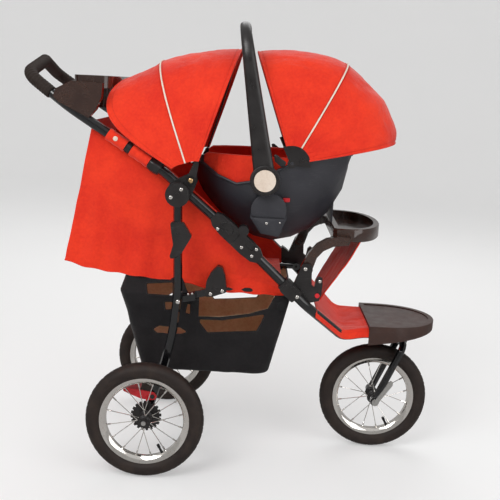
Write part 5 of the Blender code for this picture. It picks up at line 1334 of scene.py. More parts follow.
@dataclass
class Seat:
    """The reclined seat's cloth: skirts that hang from the tubes, the rear wall and the floor."""

    top: list
    hem: list
    skirt_y: float = 0.1990
    drawn_in: float = 0.0225
    rear_out: float = 0.0048
    fold_depth: float = 0.0062
    pleat_depth: float = 0.0058
    floor_share: float = 0.86
    fold_start: tuple = (0.055, 0, 0.60)
    fold_end: tuple = (-0.045, 0, 0.68)
    wall: float = 0.0026
    columns: int = 170
    rows: int = 72

    def fold_out(self, u, v) -> np.ndarray:
        """How far out the skirt hangs: drawn in under the tubes, with upright folds that deepen to the hem.

        Args:
            u: Share of the way from the rear to the front.
            v: Share of the way down.

        Returns:
            The distance from the middle plane.
        """
        drawn = self.drawn_in * np.minimum(1.0, v / 0.7) ** 1.5
        folds = 0.5 + 0.5 * np.cos(TAU * (3.5 * u + 0.12 * v) + 0.7)
        pleats = 0.5 + 0.5 * np.sin(TAU * (9.0 * u - 0.35 * v) + 0.5 * np.sin(TAU * 1.3 * u))
        small = ripple(u * 6.0, v * 2.2, u * 3.0)
        rear = self.rear_out * np.maximum(0.0, 1 - u / 0.22)
        depth = v * (self.fold_depth * folds + self.pleat_depth * pleats * smooth_step(v, 0.1, 0.7))
        return self.skirt_y - drawn - depth - rear + 0.0010 * small * smooth_step(v, 0.02, 0.3) - 0.0010

    def skirt(self, side: int) -> tuple:
        """One skirt as two like grids of points.

        Args:
            side: 1 for the left, -1 for the right.

        Returns:
            The outer and the inner grid.
        """
        u = np.linspace(0, 1, self.columns)[:, None]
        v = np.linspace(0, 1, self.rows)[None, :]
        x = self.top[0][0] + (self.top[-1][0] - self.top[0][0]) * u
        top_z = np.interp(x, [p[0] for p in self.top], [p[1] for p in self.top])
        hem_x = self.hem[0][0] + (self.hem[-1][0] - self.hem[0][0]) * u
        fine = spline(self.hem, 200)
        hem_z = np.interp(hem_x, fine[:, 0], fine[:, 1]) + 0.0018 * np.sin(TAU * 9 * u + 0.4)
        px = x + (hem_x - x) * v + 0.0012 * ripple(v * 3.0, u * 5.0) * smooth_step(v, 0.1, 0.5)
        pz = top_z + (hem_z - top_z) * v
        y = self.fold_out(u, v)
        outer = np.stack([px, side * y, pz], axis=-1)
        inner = np.stack([px, side * (y - self.wall), pz], axis=-1)
        return outer, inner

    def rear_wall(self) -> tuple:
        """The rear wall between the skirts as two like grids: it bellies out and has a crossways fold."""
        v = np.linspace(0, 1, self.rows)[:, None]
        s = np.linspace(-1, 1, 90)[None, :]
        top, hem = np.array(self.top[0]), np.array(self.hem[0])
        x = top[0] + (hem[0] - top[0]) * v
        z = top[1] + (hem[1] - top[1]) * v + 0 * s
        reach = self.fold_out(np.zeros_like(v), v) - self.wall / 2
        bulge = 0.0115 * (1 - s**2) * np.sin(math.pi * v)
        waves = 0.0022 * ripple(s * 1.6, v * 2.4) * np.sin(math.pi * v) * (1 - s**4)
        out = x + 0.0006 - bulge + waves + 0 * s
        outer = np.stack([out, reach * s, z], axis=-1)
        inner = np.stack([out + 0.0036, reach * s, z], axis=-1)
        return outer, inner

    def build(self) -> None:
        """Makes the skirts, the wall, the floor and the hems."""
        shape = Shape()
        for side in (1, -1):
            outer, inner = self.skirt(side)
            shape.shell(outer, inner)
        shape.shell(*self.rear_wall())
        u = np.linspace(0.004, 0.986, 60)[:, None]
        s = np.linspace(-1, 1, 40)[None, :]
        v = self.floor_share
        x = self.top[0][0] + (self.top[-1][0] - self.top[0][0]) * u
        top_z = np.interp(x, [p[0] for p in self.top], [p[1] for p in self.top])
        hem_x = self.hem[0][0] + (self.hem[-1][0] - self.hem[0][0]) * u
        hem_z = np.interp(hem_x, [p[0] for p in self.hem], [p[1] for p in self.hem])
        px, pz = x + (hem_x - x) * v, np.maximum(top_z + (hem_z - top_z) * v, 0.503)
        reach = self.fold_out(u, np.full_like(u, v)) - self.wall / 2
        sag = 0.004 * (1 - s**2) * np.sin(math.pi * u)
        floor = np.stack([px + 0 * s, reach * s, pz - sag + 0 * s], axis=-1)
        shape.shell(floor, floor - (0, 0, 0.004))
        cloth = shape.made("seat_skirt_cloth", Finishes.RED, angle=60)
        hems = Shape()
        for side in (1, -1):
            outer, inner = self.skirt(side)
            line = (outer[:, -1] + inner[:, -1]) / 2 + (0, 0, 0.001)
            hems.sweep(line, circle(0.0026, 8))
        hem = hems.made("seat_skirt_hem", Finishes.RED, angle=60)
        for piece in (cloth, hem):
            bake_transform(piece)
        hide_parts("seat_fabric")


@dataclass
class LegPanels:
    """The cloth over the calf tubes, and the panel from there up to the child tray."""

    front_line: tuple = ((0.2290, 0.4545), (0.2365, 0.470), (0.262, 0.515), (0.296, 0.575), (0.318, 0.6240))
    wrap_radius: float = 0.0125 + 0.0046
    calf_wall: float = 0.0022
    front_wall: float = 0.0026
    tube: tuple = (
        (0.0409, 0.5951, 0.215), (0.186, 0.4618, 0.215), (0.295, 0.3615, 0.130), (0.352, 0.3657, 0.108),
        (0.440, 0.3657, 0.108),
    )

    def tube_line(self) -> np.ndarray:
        """The lower tube's middle line on the left, as (x, y, z) rows."""
        corners = [(x, y, z) for x, z, y in self.tube]
        return even(bent(corners, [0.06, 0.05, 0.08]), 400)

    def calf(self) -> tuple:
        """The panel over the calf tubes as two grids: it lies on both tubes and sags between them."""
        line = self.tube_line()
        x = np.linspace(0.214, 0.3650, 70)[:, None]
        y_tube, z_tube = (np.interp(x, line[:, 0], line[:, k]) for k in (1, 2))
        turn = np.linspace(-1, 1, 110)[None, :]
        inside = np.clip(np.abs(turn) / 0.86, 0, 1)
        wrap = np.clip((np.abs(turn) - 0.86) / 0.14, 0, 1) * math.radians(105)
        radius = self.wrap_radius
        y = np.sign(turn) * (y_tube * inside + radius * np.sin(wrap))
        sag = (0.010 * np.sin(math.pi * (x - 0.214) / 0.151)) * (1 - inside**4)
        z = z_tube + radius * np.cos(wrap) - sag
        folds = 0.0014 * ripple(x * 9.0, turn * 1.4) * (1 - inside**6)
        outer = np.stack([x + 0 * turn, y, z + folds], axis=-1)
        inner_y = np.sign(turn) * (y_tube * inside + (radius - self.calf_wall) * np.sin(wrap))
        inner = np.stack([x + 0 * turn, inner_y, z + folds - self.calf_wall * np.cos(wrap)], axis=-1)
        return outer, inner

    def front(self) -> tuple:
        """The upright panel as two grids, a little bellied out."""
        line = spline(self.front_line, 80)
        v = np.linspace(0, 1, 80)[:, None]
        s = np.linspace(-1, 1, 70)[None, :]
        half = 0.105 + 0.045 * v
        swell = np.sin(math.pi * v)
        belly = 0.0085 * (1 - s**2) * swell + 0.0014 * ripple(s * 1.5, v * 2.2) * swell
        outer = np.stack([line[:, :1] + belly + self.front_wall, half * s, line[:, 1:] + 0 * s], axis=-1)
        return outer, outer - (self.front_wall, 0, 0)

    def build(self) -> None:
        """Both panels, their hems and their rows of stitches."""
        for name, (outer, inner) in (("calf_panel", self.calf()), ("front_panel", self.front())):
            cloth = Shape().shell(outer, inner).made(f"{name}_cloth", Finishes.RED, angle=60)
            edges, stitches = Shape(), Shape()
            middle = (outer + inner) / 2
            for line in (middle[0], middle[-1], middle[:, 0], middle[:, -1]):
                edges.sweep(line, circle(0.0021, 8), up=(0.3, 0.4, 0.8))
            for line in (outer[4], outer[-5], outer[:, 4], outer[:, -5]):
                stitch_line(stitches, line, (0.3, 0.4, 0.8))
            hem = edges.made(f"{name}_hem", Finishes.RED, angle=60)
            thread = stitches.made(f"{name}_stitches", Finishes.THREAD, angle=60)
            for piece in (cloth, hem, thread):
                if name == "front_panel":
                    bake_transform(piece)
                else:
                    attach(piece, "lower_frame")
            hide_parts(name)


# Basket


@dataclass
class Basket:
    """The cloth basket: a sagging tub with open side windows, and tapes to the links."""

    floor_z: float = 0.252
    rim_z: float = 0.466
    corner: float = 0.030
    bend: float = 0.012
    wall: float = 0.0022
    around: int = 264
    wall_height: float = 0.235
    middle_x: float = -0.0752
    plan: tuple = (0.223, 0.1875)
    rear: tuple = (
        (0.252, -0.240), (0.277, -0.247), (0.374, -0.275), (0.408, -0.282), (0.466, -0.3015), (0.512, -0.287),
    )
    front: tuple = ((0.252, 0.099), (0.361, 0.124), (0.466, 0.1470), (0.512, 0.1480))
    half: tuple = ((0.252, 0.165), (0.466, 0.1875), (0.512, 0.1640))
    windows: tuple = (
        ((-0.232, 0.490), (-0.161, 0.496), (-0.159, 0.462), (-0.226, 0.463)),
        ((-0.182, 0.446), (-0.159, 0.447), (-0.160, 0.424), (-0.179, 0.422)),
        ((-0.122, 0.444), (-0.113, 0.443), (-0.112, 0.412), (-0.127, 0.416)),
        ((-0.212, 0.367), (-0.193, 0.379), (-0.138, 0.377), (-0.116, 0.363), (-0.137, 0.356),
         (-0.200, 0.356)),
        ((-0.089, 0.4025), (-0.089, 0.392), (-0.067, 0.364), (0.063, 0.3765), (0.073, 0.397),
         (0.083, 0.4265), (-0.029, 0.4035)),
    )
    mouth: tuple = (
        (-0.091, 0.540), (-0.091, 0.4095), (-0.035, 0.4115), (0.040, 0.4245), (0.089, 0.4420),
        (0.1035, 0.475), (0.1035, 0.540),
    )

    @staticmethod
    def line_at(line, z) -> np.ndarray:
        """The value of a line of (z, value) rows at heights."""
        return np.interp(z, [row[0] for row in line], [row[1] for row in line])

    def loop(self) -> np.ndarray:
        """The basket's outline in plan as shares of its half length and half width."""
        size = np.array(self.plan)
        corners = rounded(np.array([(-1, -1), (1, -1), (1, 1), (-1, 1)]) * size, self.corner, 8)
        return even(np.vstack([corners, corners[:1]]), self.around + 1)[:-1] / size

    def grid(self, inset: float) -> np.ndarray:
        """The tub's surface: the floor from its middle out, the bend, and the walls up to their top.

        Args:
            inset: How far it lies inside the outer face.

        Returns:
            The grid of points, one row for each step outwards or up.
        """
        loop = self.loop()
        base, bend = self.floor_z + inset, self.bend
        turn = np.linspace(0, math.pi / 2, 6)[1:]
        rise = np.linspace(0, 1, 48)[1:]
        scale = np.r_[np.linspace(0, 1, 12), np.ones(len(turn) + len(rise))][:, None]
        less = np.r_[np.full(12, bend), bend * (1 - np.sin(turn)), np.zeros(len(rise))][:, None] + inset
        x_rim = self.middle_x + loop[:, 0] * 0.2223
        rear_part = 1 - smooth_step(x_rim, -0.155, -0.115)
        top = 0.470 + 0.040 * rear_part + 0.005 * smooth_step(x_rim, 0.095, 0.110)
        low = np.r_[np.zeros(12), bend * (1 - np.cos(turn)), np.full(len(rise), bend)][:, None]
        z = base + low + np.r_[np.zeros(12 + len(turn)), rise][:, None] * (top - base - bend)[None, :]
        rear, front, half = (self.line_at(line, z) for line in (self.rear, self.front, self.half))
        x = (rear + front) / 2 + loop[:, 0] * ((front - rear) / 2 - less) * scale
        y = loop[:, 1] * (half - less) * scale
        return np.stack([x, y, z], axis=-1)

    def drape(self, points) -> np.ndarray:
        """The tub's points with its sag, its belly and its creases.

        Args:
            points: Points on or near the tub.

        Returns:
            The moved points.
        """
        x, y, z = np.moveaxis(np.asarray(points, float), -1, 0)
        level = np.clip((z - self.floor_z) / (self.rim_z - self.floor_z), 0, 1)
        side = smooth_step(np.abs(y), 0.120, 0.165)
        wall = smooth_step(level, 0.02, 0.14)
        folds = ripple(x * 5.0 + y * 3.0, z * 4.0, y * 5.0)
        creases = ripple(x * 15.0, y * 15.0, z * 12.0)
        out = (0.0024 * folds + 0.0009 * creases) * (0.25 + 0.75 * np.sin(math.pi * level)) * wall
        hollow = np.clip(1 - (y / 0.17) ** 2, 0, 1) * np.clip(1 - ((x + 0.07) / 0.18) ** 2, 0, 1)
        sag = (1 - wall) * (0.007 * hollow + 0.0010 * creases)
        moved_y = y + np.sign(y) * side * out
        moved_x = x + np.sign(x + 0.07) * (1 - side) * wall * out
        return np.stack([moved_x, moved_y, z - sag], axis=-1)

    def on_wall(self, outline, side: int, count: int, out: float = 0.0) -> np.ndarray:
        """A line over a side wall from its (x, z) outline, read at even lengths and draped."""
        flat = even(outline, count)
        y = side * (self.line_at(self.half, flat[:, 1]) + out)
        return self.drape(np.column_stack([flat[:, 0], y, flat[:, 1]]))

    def bindings(self) -> "Shape":
        """The cord bound round every window, along the mouth and along the top edges."""
        cords = Shape()
        for side in (-1, 1):
            for window in self.windows:
                ring = rounded(window, 0.004, 4)
                path = self.on_wall(np.vstack([ring, ring[:1]]), side, 90)[:-1]
                cords.sweep(path, circle(0.0017, 8), closed=True)
            edge = np.column_stack([self.mouth, np.zeros(len(self.mouth))])
            edge[0, 1], edge[-1, 1] = 0.470, 0.475
            line = bent(edge, [0.006, 0.1, 0.1, 0.03, 0.02], 6)[:, :2]
            cords.sweep(self.on_wall(line, side, 130), circle(0.0019, 8))
        top = self.drape(self.grid(self.wall / 2)[-1])
        for inside in (top[:, 0] < -0.0905, top[:, 0] > 0.1030):
            start = int(np.flatnonzero(inside & ~np.roll(inside, 1))[0])
            run = np.roll(top, -start, axis=0)[np.roll(inside, -start)]
            cords.sweep(run, circle(0.0022, 8), up=(0, 0, 1))
        return cords

    def tapes(self) -> "Shape":
        """Flat tapes from the rim to the link rails and the flat links."""
        strips = Shape()
        for side in (-1, 1):
            front = [(0.1865, 0.440), (0.1868, 0.458), (0.1820, 0.4685), (0.1700, 0.4738), (0.1600, 0.4745),
                     (0.1530, 0.4745)]
            rear = [(0.1875, 0.435), (0.1885, 0.450), (0.1900, 0.4565), (0.1940, 0.4595), (0.1965, 0.4598)]
            for x, rows in ((0.124, front), (-0.101, rear)):
                path = even([(x, side * y, z) for y, z in rows], 24)
                strips.sweep(path, ribbon(0.019, 0.0016), up=(0, side * 0.5, 0.9))
        return strips

    def build(self) -> None:
        """The tub with its windows cut, its coated inside brightened as painted light, the bound edges and the
        tapes.
        """
        outer, inner = self.grid(0.0), self.grid(self.wall)
        shape = Shape().patch(outer, wrap_columns=True).patch(inner, wrap_columns=True, flip=True)
        shape.patch(np.stack([outer[-1], inner[-1]]), wrap_columns=True)
        tub = shape.made("basket_cloth", Finishes.BLACK_CLOTH, angle=60)
        cut_through(tub, [rounded(w, 0.004, 4) for w in self.windows] + [self.mouth])
        self.line_inside(tub)
        reshape(tub, self.drape)
        smooth_faces(tub.data)
        tub.data.set_sharp_from_angle(angle=math.radians(60))
        cords = self.bindings().made("basket_bound_edges", Finishes.WEBBING, angle=60)
        strips = self.tapes().made("basket_tapes", Finishes.WEBBING, angle=60)
        for piece in (tub, cords, strips):
            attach(piece, "lower_frame")
            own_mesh(piece)
        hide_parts("basket")

    def line_inside(self, tub) -> None:
        """Gives the faces that look inwards or up the cloth's coated back, whose tan is brightened as painted
        light against shade.
        """
        tub.data.materials.append(Finishes.BACKING_PAINTED_LIGHT.material())
        count = len(tub.data.polygons)
        normals, centres = np.empty(count * 3), np.empty(count * 3)
        tub.data.polygons.foreach_get("normal", normals)
        tub.data.polygons.foreach_get("center", centres)
        normals, centres = normals.reshape(-1, 3), centres.reshape(-1, 3)
        out = (centres[:, :2] - (self.middle_x, 0)) / self.plan
        sideways = (normals[:, :2] * out).sum(1)
        inside = np.where(np.abs(normals[:, 2]) > 0.75, normals[:, 2] > 0, sideways < -0.2)
        tub.data.polygons.foreach_set("material_index", inside.astype(np.int32))


# Infant carrier


@dataclass
class CarrierForm:
    """The carrier shell's sections: x, rim, floor, half width at the rim and at the floor.

    The way across a section runs from -1 at the right border over 0 in the floor's middle to 1
    at the left border, and its parts end at the shares named here.
    """

    flat_end: float = 0.30
    heel_end: float = 0.38
    wall_end: float = 0.82
    heel_rise: float = 0.020

    stations: tuple = (
        (-0.124, 0.804, 0.768, 0.085, 0.060), (-0.100, 0.806, 0.728, 0.125, 0.085),
        (-0.060, 0.780, 0.684, 0.160, 0.105), (-0.010, 0.762, 0.645, 0.180, 0.118),
        (0.040, 0.772, 0.618, 0.186, 0.124), (0.090, 0.800, 0.608, 0.186, 0.126),
        (0.140, 0.826, 0.620, 0.184, 0.126), (0.190, 0.838, 0.646, 0.178, 0.120),
        (0.235, 0.845, 0.690, 0.166, 0.108), (0.270, 0.848, 0.752, 0.148, 0.092),
        (0.282, 0.848, 0.806, 0.132, 0.080),
    )

    def at(self, x) -> tuple:
        """Rim, floor, rim half width and floor half width at x."""
        table = np.asarray(self.stations)
        return tuple(np.interp(x, table[:, 0], table[:, k]) for k in (1, 2, 3, 4))

    def section(self, x, v, inset, top=None) -> np.ndarray:
        """Points inside the shell by x and the way from the middle of the floor to the border.

        Args:
            x: Places along the carrier.
            v: -1 at the right border, 0 in the middle of the floor, 1 at the left border.
            inset: How far inside the shell's outer face.
            top: The border's height, or None to stop at the rim.

        Returns:
            The points.
        """
        rim, floor, rim_half, floor_half = self.at(x)
        floor, rim_half, floor_half = floor + inset, rim_half - inset, floor_half - 0.6 * inset
        way = np.abs(v)
        flat = np.clip(way / self.flat_end, 0, 1)
        heel = np.clip((way - self.flat_end) / (self.heel_end - self.flat_end), 0, 1)
        rise = np.clip((way - self.heel_end) / (self.wall_end - self.heel_end), 0, 1)
        border = np.clip((way - self.wall_end) / (1 - self.wall_end), 0, 1)
        y = floor_half * (0.8 * flat + 0.2 * heel) + (rim_half - floor_half) * np.sin(rise * math.pi / 2)
        z = floor + self.heel_rise * heel + (rim - floor - self.heel_rise) * rise
        if top is not None:
            z = z + (top - rim) * border
            y = y - 0.004 * border**2
        return np.stack([x + 0 * v, np.sign(v) * y, z], axis=-1)


@dataclass
class CarrierLiner:
    """The carrier's padded liner, quilted across, with a rolled border that stands above the rim."""

    form: CarrierForm
    inset: float = 0.0080
    thickness: float = 0.0170
    rows: int = 150
    columns: int = 151
    seam_step: float = 0.055

    def top(self, x) -> np.ndarray:
        """The border's height over the ground."""
        rim = self.form.at(x)[0]
        share = smooth_step(x, -0.118, -0.085) * (1 - smooth_step(x, 0.120, 0.165))
        return rim + 0.003 + (0.8265 - rim) * share * (rim < 0.8265)

    def inner(self, x, v) -> np.ndarray:
        """The face that the baby lies on: it rises to the border at both ends and puffs between seams."""
        rim = self.form.at(x)[0]
        points = self.form.section(x, v, self.inset + self.thickness, self.top(x))
        ends = np.clip((x + 0.098) / 0.045, 0, 1) * np.clip((0.262 - x) / 0.050, 0, 1)
        deep = np.sqrt(np.clip(1 - (1 - ends) ** 2, 0, 1))
        share = np.where(points[..., 2] < rim, deep, 1.0)
        points[..., 2] = rim - 0.004 + (points[..., 2] - rim + 0.004) * share
        puff = np.abs(np.sin(math.pi * (x - 0.080) / self.seam_step)) ** 0.6
        puff = puff * (1 - smooth_step(np.abs(v), 0.60, 0.80)) * smooth_step(deep, 0.5, 1.0)
        side = np.abs(np.sin(math.pi * np.clip(np.abs(v) / 0.34, 0, 1))) ** 0.5
        points[..., 2] += 0.0040 * puff * side
        points[..., 1] -= np.sign(v) * 0.0020 * puff * smooth_step(np.abs(v), 0.38, 0.55)
        soft = ripple(x * 9.0, v * 2.6, x * 4.0)
        points[..., 1] -= np.sign(v) * 0.0012 * soft * smooth_step(np.abs(v), 0.4, 0.7)
        return points

    def build(self) -> None:
        """The quilted liner as one closed piece, and the stitches along its seams."""
        x = np.linspace(-0.0985, 0.2685, self.rows)[:, None]
        v = np.linspace(-1, 1, self.columns)[None, :]
        outer = self.form.section(x, v, self.inset, self.top(x))
        outer[..., 1] += np.sign(v) * 0.0010 * ripple(x * 8.0, v * 2.0) * smooth_step(np.abs(v), 0.84, 0.92)
        inner = self.inner(x, v)
        left = self.roll(outer[:, -1], inner[:, -1])
        right = self.roll(inner[:, 0], outer[:, 0])
        loop = np.concatenate([outer, left, inner[:, ::-1], right], axis=1)
        shape = Shape().patch(loop, wrap_columns=True)
        for row, flip in ((0, False), (-1, True)):
            shape.patch(np.stack([outer[row], inner[row]]), flip=flip)
            for edge in (left, right):
                middle = (edge[row][:1] + edge[row][-1:]) / 2
                fan = np.stack([edge[row], np.broadcast_to(middle, edge[row].shape)])
                shape.patch(fan, flip=flip)
        liner = shape.made("carrier_liner_padded", Finishes.RED, angle=70)
        hung(liner, "carrier", "red_fabric", "carrier_liner")
        seams = Shape()
        for k in range(-3, 4):
            at_x = 0.080 + self.seam_step * k
            if -0.07 < at_x < 0.24:
                line = self.inner(np.full(160, at_x), np.linspace(-0.78, 0.78, 160))
                stitch_line(seams, line + (0, 0, 0.0003), (1, 0, 0), pitch=0.005, size=0.0005)
        hung(seams.made("carrier_liner_stitches", Finishes.THREAD, angle=60), "carrier", "red_fabric")

    @staticmethod
    def roll(start, end) -> np.ndarray:
        """The rounded top between two edges: half a turn over them, without the edges themselves."""
        turn = np.linspace(0, math.pi, 9)[1:-1]
        middle, half = (start + end) / 2, (start - end) / 2
        rise = np.sin(turn)[None, :, None] * np.array([0, 0, 0.62])
        lift = np.linalg.norm(half, axis=-1)[:, None, None] * rise
        return middle[:, None] + half[:, None] * np.cos(turn)[None, :, None] + lift


@dataclass
class Harness:
    """The carrier's webbing: shoulder straps with pads, lap straps and the strap between the legs."""

    liner: CarrierLiner

    def over(self, x, v, lift: float) -> np.ndarray:
        """A line over the liner, lifted off it a little."""
        return self.liner.inner(np.asarray(x, float), np.asarray(v, float)) + (0, 0, lift)

    def build(self) -> None:
        """All straps as one piece of webbing, and the two pads."""
        straps, pads = Shape(), Shape()
        share = np.linspace(0, 1, 50)
        for side in (-1, 1):
            inwards = 0.155 - 0.125 * smooth_step(share, 0.3, 1.0)
            shoulder = self.over(0.225 - 0.125 * share, side * inwards, 0.0045)
            straps.sweep(even(shoulder, 50), ribbon(0.022, 0.0018), up=(0.2, 0, 1))
            pads.sweep(even(shoulder[2:30], 30), ribbon(0.032, 0.0075), up=(0.2, 0, 1),
                       scale=1 - 0.35 * (np.abs(np.linspace(-1, 1, 30)) ** 8))
            lap = self.over(0.082 + 0.020 * share, side * (0.10 + 0.50 * share), 0.0045)
            straps.sweep(even(lap, 40), ribbon(0.022, 0.0018), up=(0, -0.3 * side, 1))
        crotch = self.over(0.062 - 0.060 * share, 0.0 * share + 1e-6, 0.0035)
        straps.sweep(even(crotch, 24), ribbon(0.024, 0.0018), up=(0, 0, 1))
        hung(straps.made("harness_webbing", Finishes.WEBBING, angle=60), "carrier", "black_fabric")
        hung(pads.made("harness_pads", Finishes.RED_DEEP, angle=60), "carrier", "red_fabric")


@dataclass
class CarryHandle:
    """The carry handle: arms that widen to round hubs, and a bar with a soft sleeve."""

    hub: tuple = (0.062, 0.778)
    top: tuple = (-0.0075, 1.154)
    arm_y: float = 0.2112
    bend: float = 0.085
    hub_profile: tuple = (
        (0.0086, 0.2006), (0.0362, 0.2006), (0.0376, 0.2014), (0.0380, 0.2030), (0.0380, 0.2200),
        (0.0374, 0.2216), (0.0360, 0.2222), (0.0304, 0.2222), (0.0290, 0.2216), (0.0283, 0.2204),
        (0.0283, 0.2152), (0.0086, 0.2152),
    )

    def build(self) -> None:
        """A rounded section that narrows from hub to bar, the hubs, and the sleeve on the bar."""
        hub, top = np.array(self.hub), np.array(self.top)
        lean = (top - hub) / np.linalg.norm(top - hub)
        first = hub + lean * 0.020
        corners = [(first[0], self.arm_y, first[1]), (top[0], self.arm_y - 0.012, top[1]),
                   (top[0], 0.0, top[1])]
        half = bent(corners, [self.bend], 20)
        whole = even(np.vstack([half, half[-2::-1] * (1, -1, 1)]), 260)
        height = np.linalg.norm(top - first)
        rise = np.clip(np.linalg.norm(whole[:, [0, 2]] - first, axis=1) / height, 0, 1)
        turn = np.arange(36) * TAU / 36
        section = np.column_stack([np.sign(c) * np.abs(c) ** 0.8 for c in (np.cos(turn), np.sin(turn))])
        size = np.column_stack([0.0265 - 0.0130 * rise, 0.0085 + 0.0045 * rise])
        wide = (lean[1], 0, -lean[0])
        shape = Shape().sweep(whole, section, up=wide, scale=size)
        for side in (-1, 1):
            profile = [(r, side * y) for r, y in self.hub_profile]
            shape.turned(profile, (hub[0], 0, hub[1]), steps=72)
        frame = shape.made("carry_handle_frame", Finishes.GREY_PLASTIC, angle=45)
        hung(frame, "carrier_handle", "dark_plastic", "carrier_handle")
        bar = whole[np.abs(whole[:, 1]) < 0.075]
        taper = 1 - 0.10 * np.abs(np.linspace(-1, 1, 90))[:, None] ** 24
        grip = Shape().sweep(even(bar, 90), section, up=wide, scale=np.array([0.0146, 0.0141]) * taper)
        hung(grip.made("carry_handle_sleeve", Finishes.FOAM, angle=60), "carrier_handle", "grip_foam")


@dataclass
class CarrierTrim:
    """The small parts on the carrier's shell: rolled rim, belt guards, clips and marks."""

    form: CarrierForm
    guard: tuple = (0.076, 0.700)

    def rim_path(self) -> np.ndarray:
        """The closed line along the shell's rim."""
        table = np.asarray(self.form.stations)
        left = np.column_stack([table[:, 0], table[:, 3] - 0.001, table[:, 1]])
        loop = np.vstack([left, left[::-1] * (1, -1, 1), left[:1]])
        return even(loop, 421)[:-1]

    @staticmethod
    def slab(shape: Shape, outline, side: int, faces: tuple, round_by: float = 0.0012) -> None:
        """Adds a plate on one side of the carrier.

        Args:
            shape: The shape that takes it.
            outline: Rows of (x, z).
            side: 1 for the left, -1 for the right.
            faces: How far its two faces stand from the middle plane.
            round_by: How far its edges are rounded.
        """
        low, high = sorted(side * face for face in faces)
        shape.plate(outline, low, high, round_by)

    def build(self) -> None:
        """Every small part, on both sides."""
        plastic, screws, reds, dark = (Shape() for _ in range(4))
        plastic.sweep(self.rim_path(), circle(0.0040, 12), up=(0, 0, 1), closed=True)
        centre = np.array(self.guard)
        turn = np.radians(np.linspace(-22, 202, 34))
        cap = centre + 0.0455 * np.column_stack([np.cos(turn), np.sin(turn)])
        seat = [(0.0345, 0.6800), (0.1180, 0.6800), (0.1050, 0.6330), (0.0590, 0.6400)]
        mark = [(0.111, 0.721), (0.129, 0.722), (0.129, 0.732), (0.111, 0.732)]
        clip = [(0.080, 0.842), (0.088, 0.843), (0.113, 0.825), (0.110, 0.815), (0.100, 0.813), (0.084, 0.826)]
        for side in (-1, 1):
            self.slab(plastic, cap, side, (0.1900, 0.1950), 0.0018)
            self.slab(plastic, rounded(seat, 0.004, 4), side, (0.1900, 0.1938), 0.0014)
            screws.dome((0.072, side * 0.1938, 0.667), (0, side, 0), 0.0036, 0.0016)
            screws.dome((0.106, side * 0.1938, 0.670), (0, side, 0), 0.0022, 0.0010)
            self.slab(reds, rounded(mark, 0.002, 3), side, (0.160, 0.1755))
            self.slab(dark, rounded(clip, 0.003, 4), side, (0.1948, 0.1990))
        mouldings = plastic.made("carrier_shell_mouldings", Finishes.SHELL_PLASTIC, angle=40)
        hung(mouldings, "carrier", "dark_plastic")
        hung(screws.made("carrier_screws", Finishes.CHROME, angle=40), "carrier", "chrome")
        hung(reds.made("carrier_marks", Finishes.RED_PLASTIC, angle=40), "carrier", "red_plastic")
        hung(dark.made("carrier_canopy_clips", Finishes.GREY_PLASTIC, angle=40), "carrier", "dark_plastic")


# Small parts of the frame


@dataclass
class Fasteners:
    """Rivets and bolts on the housings: each row is body, x, z, height over Y and radius."""

    rows: tuple = (
        ("rear_legs", -0.141, 0.464, 0.2525, 0.0055),
        ("upper_frame", -0.0500, 0.6520, 0.2293, 0.0042),
        ("lower_frame", 0.0120, 0.6080, 0.2293, 0.0042),
        ("lower_frame", 0.0500, 0.6050, 0.2293, 0.0042),
        ("lower_frame", 0.0390, 0.5870, 0.2293, 0.0042),
        ("upper_frame", -0.1430, 0.7500, 0.2575, 0.0048),
        ("upper_frame", -0.1680, 0.7290, 0.2575, 0.0048),
        ("side_links", -0.0620, 0.4755, 0.2000, 0.0048),
        ("side_links", -0.0320, 0.4850, 0.2000, 0.0048),
        ("side_links", -0.1180, 0.4780, 0.2225, 0.0028),
        ("side_links", -0.1080, 0.4800, 0.2225, 0.0028),
        ("lower_frame", 0.1780, 0.5570, 0.2107, 0.0050),
        ("lower_frame", 0.2170, 0.5270, 0.2107, 0.0045),
        ("lower_frame", 0.1600, 0.4880, 0.2320, 0.0048),
    )
    ring_profile: tuple = (
        (0.0068, 0.2382), (0.0115, 0.2382), (0.0120, 0.2392), (0.0112, 0.2402), (0.0080, 0.2402),
        (0.0068, 0.2394),
    )

    def build(self) -> None:
        """One piece of rivets for each body, with a head on both sides of the pram."""
        groups = {}
        for body, x, z, y, radius in self.rows:
            shape = groups.setdefault(body, Shape())
            for side in (-1, 1):
                shape.dome((x, side * y, z), (0, side, 0), radius, radius * 0.45)
        for body, shape in groups.items():
            hung(shape.made(f"{body}_rivets", Finishes.CHROME, angle=40), body, "chrome")
        bolts, rings = Shape(), Shape()
        for side in (-1, 1):
            bolts.dome((-0.122, side * 0.2385, 0.771), (0, side, 0), 0.0065, 0.0030)
            profile = [(r, side * y) for r, y in self.ring_profile]
            rings.turned(profile, (-0.122, 0, 0.771), steps=40)
        hung(bolts.made("canopy_pivot_bolts", Finishes.BRASS, angle=40), "upper_frame", "zinc_steel")
        hung(rings.made("canopy_pivot_rings", Finishes.WEBBING, angle=40), "upper_frame", "dark_plastic")


